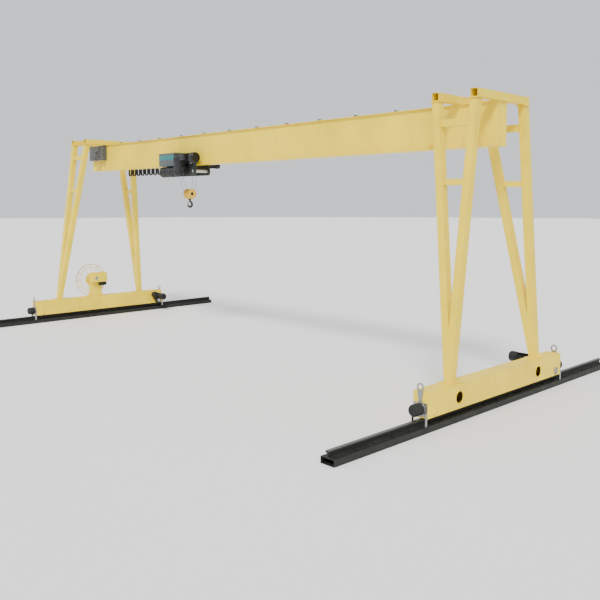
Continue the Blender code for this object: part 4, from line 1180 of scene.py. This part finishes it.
def trolley_wheel(end_name, hand):
    """A flanged wheel with a dished face and a shaft."""
    name = f"trolley_wheel_{end_name}_{hand}"
    end, centre = ENDS[end_name], JOINTS[f"{name}_spin"]
    profile = [
        (0.209, 0.0), (0.209, 0.030), (0.213, 0.034), (0.213, 0.058), (0.208, 0.062), (0.208, 0.071),
        (0.211, 0.0745)
    ]
    profile += [
        (0.267, 0.075), (0.271, 0.084), (0.274, 0.088), (0.281, 0.088), (0.2835, 0.085), (0.2835, 0.066)
    ]
    profile += [
        (0.276, 0.060), (0.276, 0.036), (0.284, 0.032), (0.284, 0.0215), (0.3193, 0.0215), (0.3193, 0.0)
    ]
    shape = turned("Y", (centre.x, 0.0, centre.z), [(end * a, b) for a, b in profile], 56)
    piece(f"{name}_casting", "iron", name, [shape], [name])


def trolley_drive():
    """The travel gearbox with ribs and bolts, and its finned motor."""
    far_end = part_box("trolley_drive")[1].y
    x = TROLLEY_X + TROLLEY_WHEEL_X
    shapes = [block((x - 0.108, 0.3205, 6.302), (x + 0.128, 0.438, 6.598), 0.012, 3)]
    for z in (6.36, 6.41, 6.49, 6.54):
        shapes.append(block((x - 0.110, 0.335, z - 0.004), (x + 0.130, 0.425, z + 0.004), 0.0015))
    shapes += finned_motor("Y", (x + 0.02, 0.0, 6.415), 0.434, far_end, 1, 0.092, 22)
    shapes.append(block((x - 0.03, 0.52, 6.495), (x + 0.07, 0.64, 6.545), 0.006))
    piece("trolley_drive_casting", "black", "trolley", shapes, ["trolley_drive"])
    bolts = bolt_grid("Y", 1, (x - 0.085, x + 0.105), (0.438,), (6.325, 6.575), 0.008)
    piece("trolley_drive_bolts", "zinc", "trolley", bolts)


def sheave_profile(middle, groove, rim, half, pin):
    """One sheave's side-to-side outline with a round groove and a dished web."""
    return [
        (middle - half * 1.05, pin), (middle - half * 1.05, pin + 0.016), (middle - half * 0.35, pin + 0.022),
        (middle - half * 0.35, groove - 0.030), (middle - half, groove - 0.020), (middle - half, rim - 0.002),
        (middle - half + 0.002, rim), (middle - half * 0.55, rim - 0.001), (middle - 0.0062, groove + 0.0035),
        (middle - 0.004, groove + 0.001), (middle, groove), (middle + 0.004, groove + 0.001),
        (middle + 0.0062, groove + 0.0035), (middle + half * 0.55, rim - 0.001), (middle + half - 0.002, rim),
        (middle + half, rim - 0.002), (middle + half, groove - 0.020), (middle + half * 0.35, groove - 0.030),
        (middle + half * 0.35, pin + 0.022), (middle + half * 1.05, pin + 0.016), (middle + half * 1.05, pin),
    ]


def sheaves():
    """The hook block's two sheaves on their pin, and the equaliser sheave with its pin's nut."""
    profile = [(-0.150, 0.0), (-0.150, 0.024), (-0.149, 0.025)]
    profile += sheave_profile(-SHEAVE_X, 0.1435, 0.1575, 0.021, 0.025) + sheave_profile(
        SHEAVE_X, 0.1435, 0.1575, 0.021, 0.025
    )
    profile += [(0.149, 0.025), (0.150, 0.024), (0.150, 0.0)]
    piece(
        "block_sheave_pair", "iron", "sheaves", [turned("X", (TROLLEY_X, 0.0, BLOCK_Z), profile, 64)],
        ["block_sheaves"]
    )
    profile = [(-0.026, 0.0), (-0.026, 0.030)] + sheave_profile(0.0, 0.1030, 0.1175, 0.018, 0.030) + [
        (0.0495, 0.030), (0.0495, 0.0)
    ]
    piece("equaliser_casting", "iron", "trolley", [turned("Y", EQUALISER, profile, 64)], ["equaliser_sheave"])
    nut = bolt("Y", -1, (EQUALISER.x, EQUALISER.y - 0.026, EQUALISER.z), 0.020)
    piece("equaliser_nut", "zinc", "trolley", nut)


def rope():
    """One stranded rope: off the drum, under a sheave, over the equaliser, under the other and back."""
    left, right = TROLLEY_X - SHEAVE_X, TROLLEY_X + SHEAVE_X
    off_drum = DRUM.y + DRUM_ROPE_RADIUS
    route = [(ROPE_LEFT_X, off_drum, DRUM.z)]
    route += [(left, y, z) for y, z in arc((0.0, BLOCK_Z), 0.1500, 190, 353, 32)]
    route += [(x, EQUALISER.y, z) for x, z in arc((TROLLEY_X, EQUALISER.z), 0.1100, 178, 2, 28)]
    route += [(right, y, z) for y, z in arc((0.0, BLOCK_Z), 0.1500, 7, -190 + 20, 32)]
    route.append((ROPE_RIGHT_X, off_drum, DRUM.z))
    path = []
    for first, second in zip(route, route[1:]):
        first, second = Vector(first), Vector(second)
        count = max(int((second - first).length / 0.0085), 1)
        path += [first.lerp(second, step / count) for step in range(count)]
    path.append(Vector(route[-1]))
    made = piece("rope_strands", "rope", None, [tube(path, 0.0058, 18, 6, 0.085)], ["hoist_rope"])
    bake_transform(made)


def hook_block():
    """Side plates' rims, the pin's end covers, bolts and the crosshead's bearing collar."""
    dress("hook_block_frame", "hook_yellow", 0.0025)
    shapes, bolts, dark = [], [], []
    for sign in (-1, 1):
        middle = TROLLEY_X + sign * SHEAVE_X
        for wall in (-1, 1):
            face = middle + wall * 0.041
            shapes.append(torus("X", (face, 0.0, BLOCK_Z), 0.176, 0.0055, 72, 10))
        outer = TROLLEY_X + sign * (SHEAVE_X + 0.041)
        profile = [
            (0.0, 0.0), (0.0, 0.058), (0.010, 0.058), (0.013, 0.054), (0.013, 0.032), (0.020, 0.027),
            (0.020, 0.0)
        ]
        dark.append(turned("X", (outer, 0.0, BLOCK_Z), [(sign * a, b) for a, b in profile]))
        bolts += bolt_circle("X", sign, (outer + sign * 0.012, 0.0, BLOCK_Z), 0.044, 6, 0.0055)
        bolts += bolt_circle("X", sign, (outer, 0.0, BLOCK_Z), 0.148, 6, 0.007, 0.26)
    piece("block_rims", "hook_yellow", "hook_block", shapes)
    collar = turned(
        "Z", (TROLLEY_X, 0.0, 0.0),
        [(5.190, 0.032), (5.190, 0.062), (5.184, 0.066), (5.172, 0.066), (5.168, 0.062), (5.168, 0.032)], 48,
        loop=True
    )
    piece("block_covers", "black", "hook_block", dark + [collar])
    piece("block_bolts", "zinc", "hook_block", bolts)


def hook():
    """A smooth forged hook with a flattened bowl and a drawn-out tip, and its latch."""
    path = [(0.0, 5.280), (0.0, 5.20), (0.0, 5.165), (0.001, 5.145), (0.006, 5.125), (0.018, 5.104)]
    radii = [0.0295, 0.0295, 0.0300, 0.0315, 0.034, 0.0365]
    for step in range(37):
        share = step / 36
        angle = math.radians(62 - 262 * share)
        reach = 0.091 + 0.006 * math.sin(math.pi * share)
        path.append((reach * math.cos(angle), 4.99 + reach * math.sin(angle)))
        radii.append(0.0375 + 0.006 * math.sin(math.pi * share) - 0.022 * max(share - 0.6, 0) / 0.4)
    end = path[-1]
    path += [(end[0] - 0.002, end[1] + 0.010), (end[0] - 0.004, end[1] + 0.016)]
    radii += [radii[-1] * 0.8, radii[-1] * 0.35]
    shape = tube([(TROLLEY_X, y, z) for y, z in path], radii, 28)
    collar = turned(
        "Z", (TROLLEY_X, 0.0, 0.0),
        [(5.150, 0.0), (5.150, 0.044), (5.156, 0.048), (5.164, 0.048), (5.166, 0.046), (5.166, 0.0)]
    )
    ears = []
    for side in (-1, 1):
        outline = arc((-0.040, 5.125), 0.013, -60, 120, 10) + [(-0.012, 5.150), (-0.002, 5.105)]
        low, high = sorted((TROLLEY_X + side * 0.0235, TROLLEY_X + side * 0.0285))
        ears.append(prism("X", outline, low, high, 0.001))
    piece("hook_forging", "hook_black", "hook", [shape, collar] + ears, ["hook"])
    hinge, tip = Vector((TROLLEY_X, -0.040, 5.125)), Vector((TROLLEY_X, -0.068, 5.042))
    turn = Matrix.Translation(hinge) @ AXES["Z"].rotation_difference(
        (tip - hinge).normalized()
    ).to_matrix().to_4x4()
    plate = moved(block((-0.018, -0.0015, 0.0), (0.018, 0.0015, 0.0875), 0.001), turn)
    flanges = [
        moved(
            block((side * 0.018 - 0.0012, -0.004, 0.004), (side * 0.018 + 0.0012, 0.008, 0.075), 0.0005), turn
        )
        for side in (-1, 1)
    ]
    spring = [
        torus("X", hinge + Vector((across, 0, 0)), 0.0085, 0.0014, 24, 6)
        for across in (-0.006, -0.003, 0.0, 0.003, 0.006)
    ]
    pin = rod("X", hinge, -0.031, 0.031, 0.0055, 0.001, 16)
    piece("latch_plate", "galvanised", "latch", [plate, pin] + flanges + spring, ["hook_latch"])


# The whole crane


def carried_nodes():
    """Materials of the CAD nodes that show as they are."""
    finishes = {
        "track": "track", "leg_frame": "yellow_tube", "head_beam": "yellow_tube", "end_carriage": "yellow"
    }
    finishes |= {"box_girder": "yellow", "end_bracket": "galvanised", "festoon_track": "arms"}
    finishes["cabinet_shell"] = "cabinet"
    for node in NODES:
        for start, finish in finishes.items():
            if node.startswith(start):
                dress(node, finish)


def dress_crane():
    """Every fine piece, from the ground up."""
    carried_nodes()
    for side, sign in SIDES.items():
        track_details(side, sign * RAIL_X)
        carriage_details(side, sign)
        travel_drive(side, sign)
        cabinet_door(side, sign)
        for end_name in ENDS:
            leg_details(side, end_name)
            crane_wheel(side, end_name)
            buffer(side, end_name)
            trolley_wheel(end_name, side)
    for part in (girder_details, reel, reel_stand, cabinet_details, festoon_rail_details, electric_panel):
        part()
    for part in (hoist_gearbox, hoist_motor, rope_drum, drum_guard, trolley_frames, trolley_subframe):
        part()
    for part in (trolley_drive, sheaves, rope, hook_block, hook):
        part()
    for number in range(1, 9):
        festoon_carrier(number)


camera()
studio()
dress_crane()
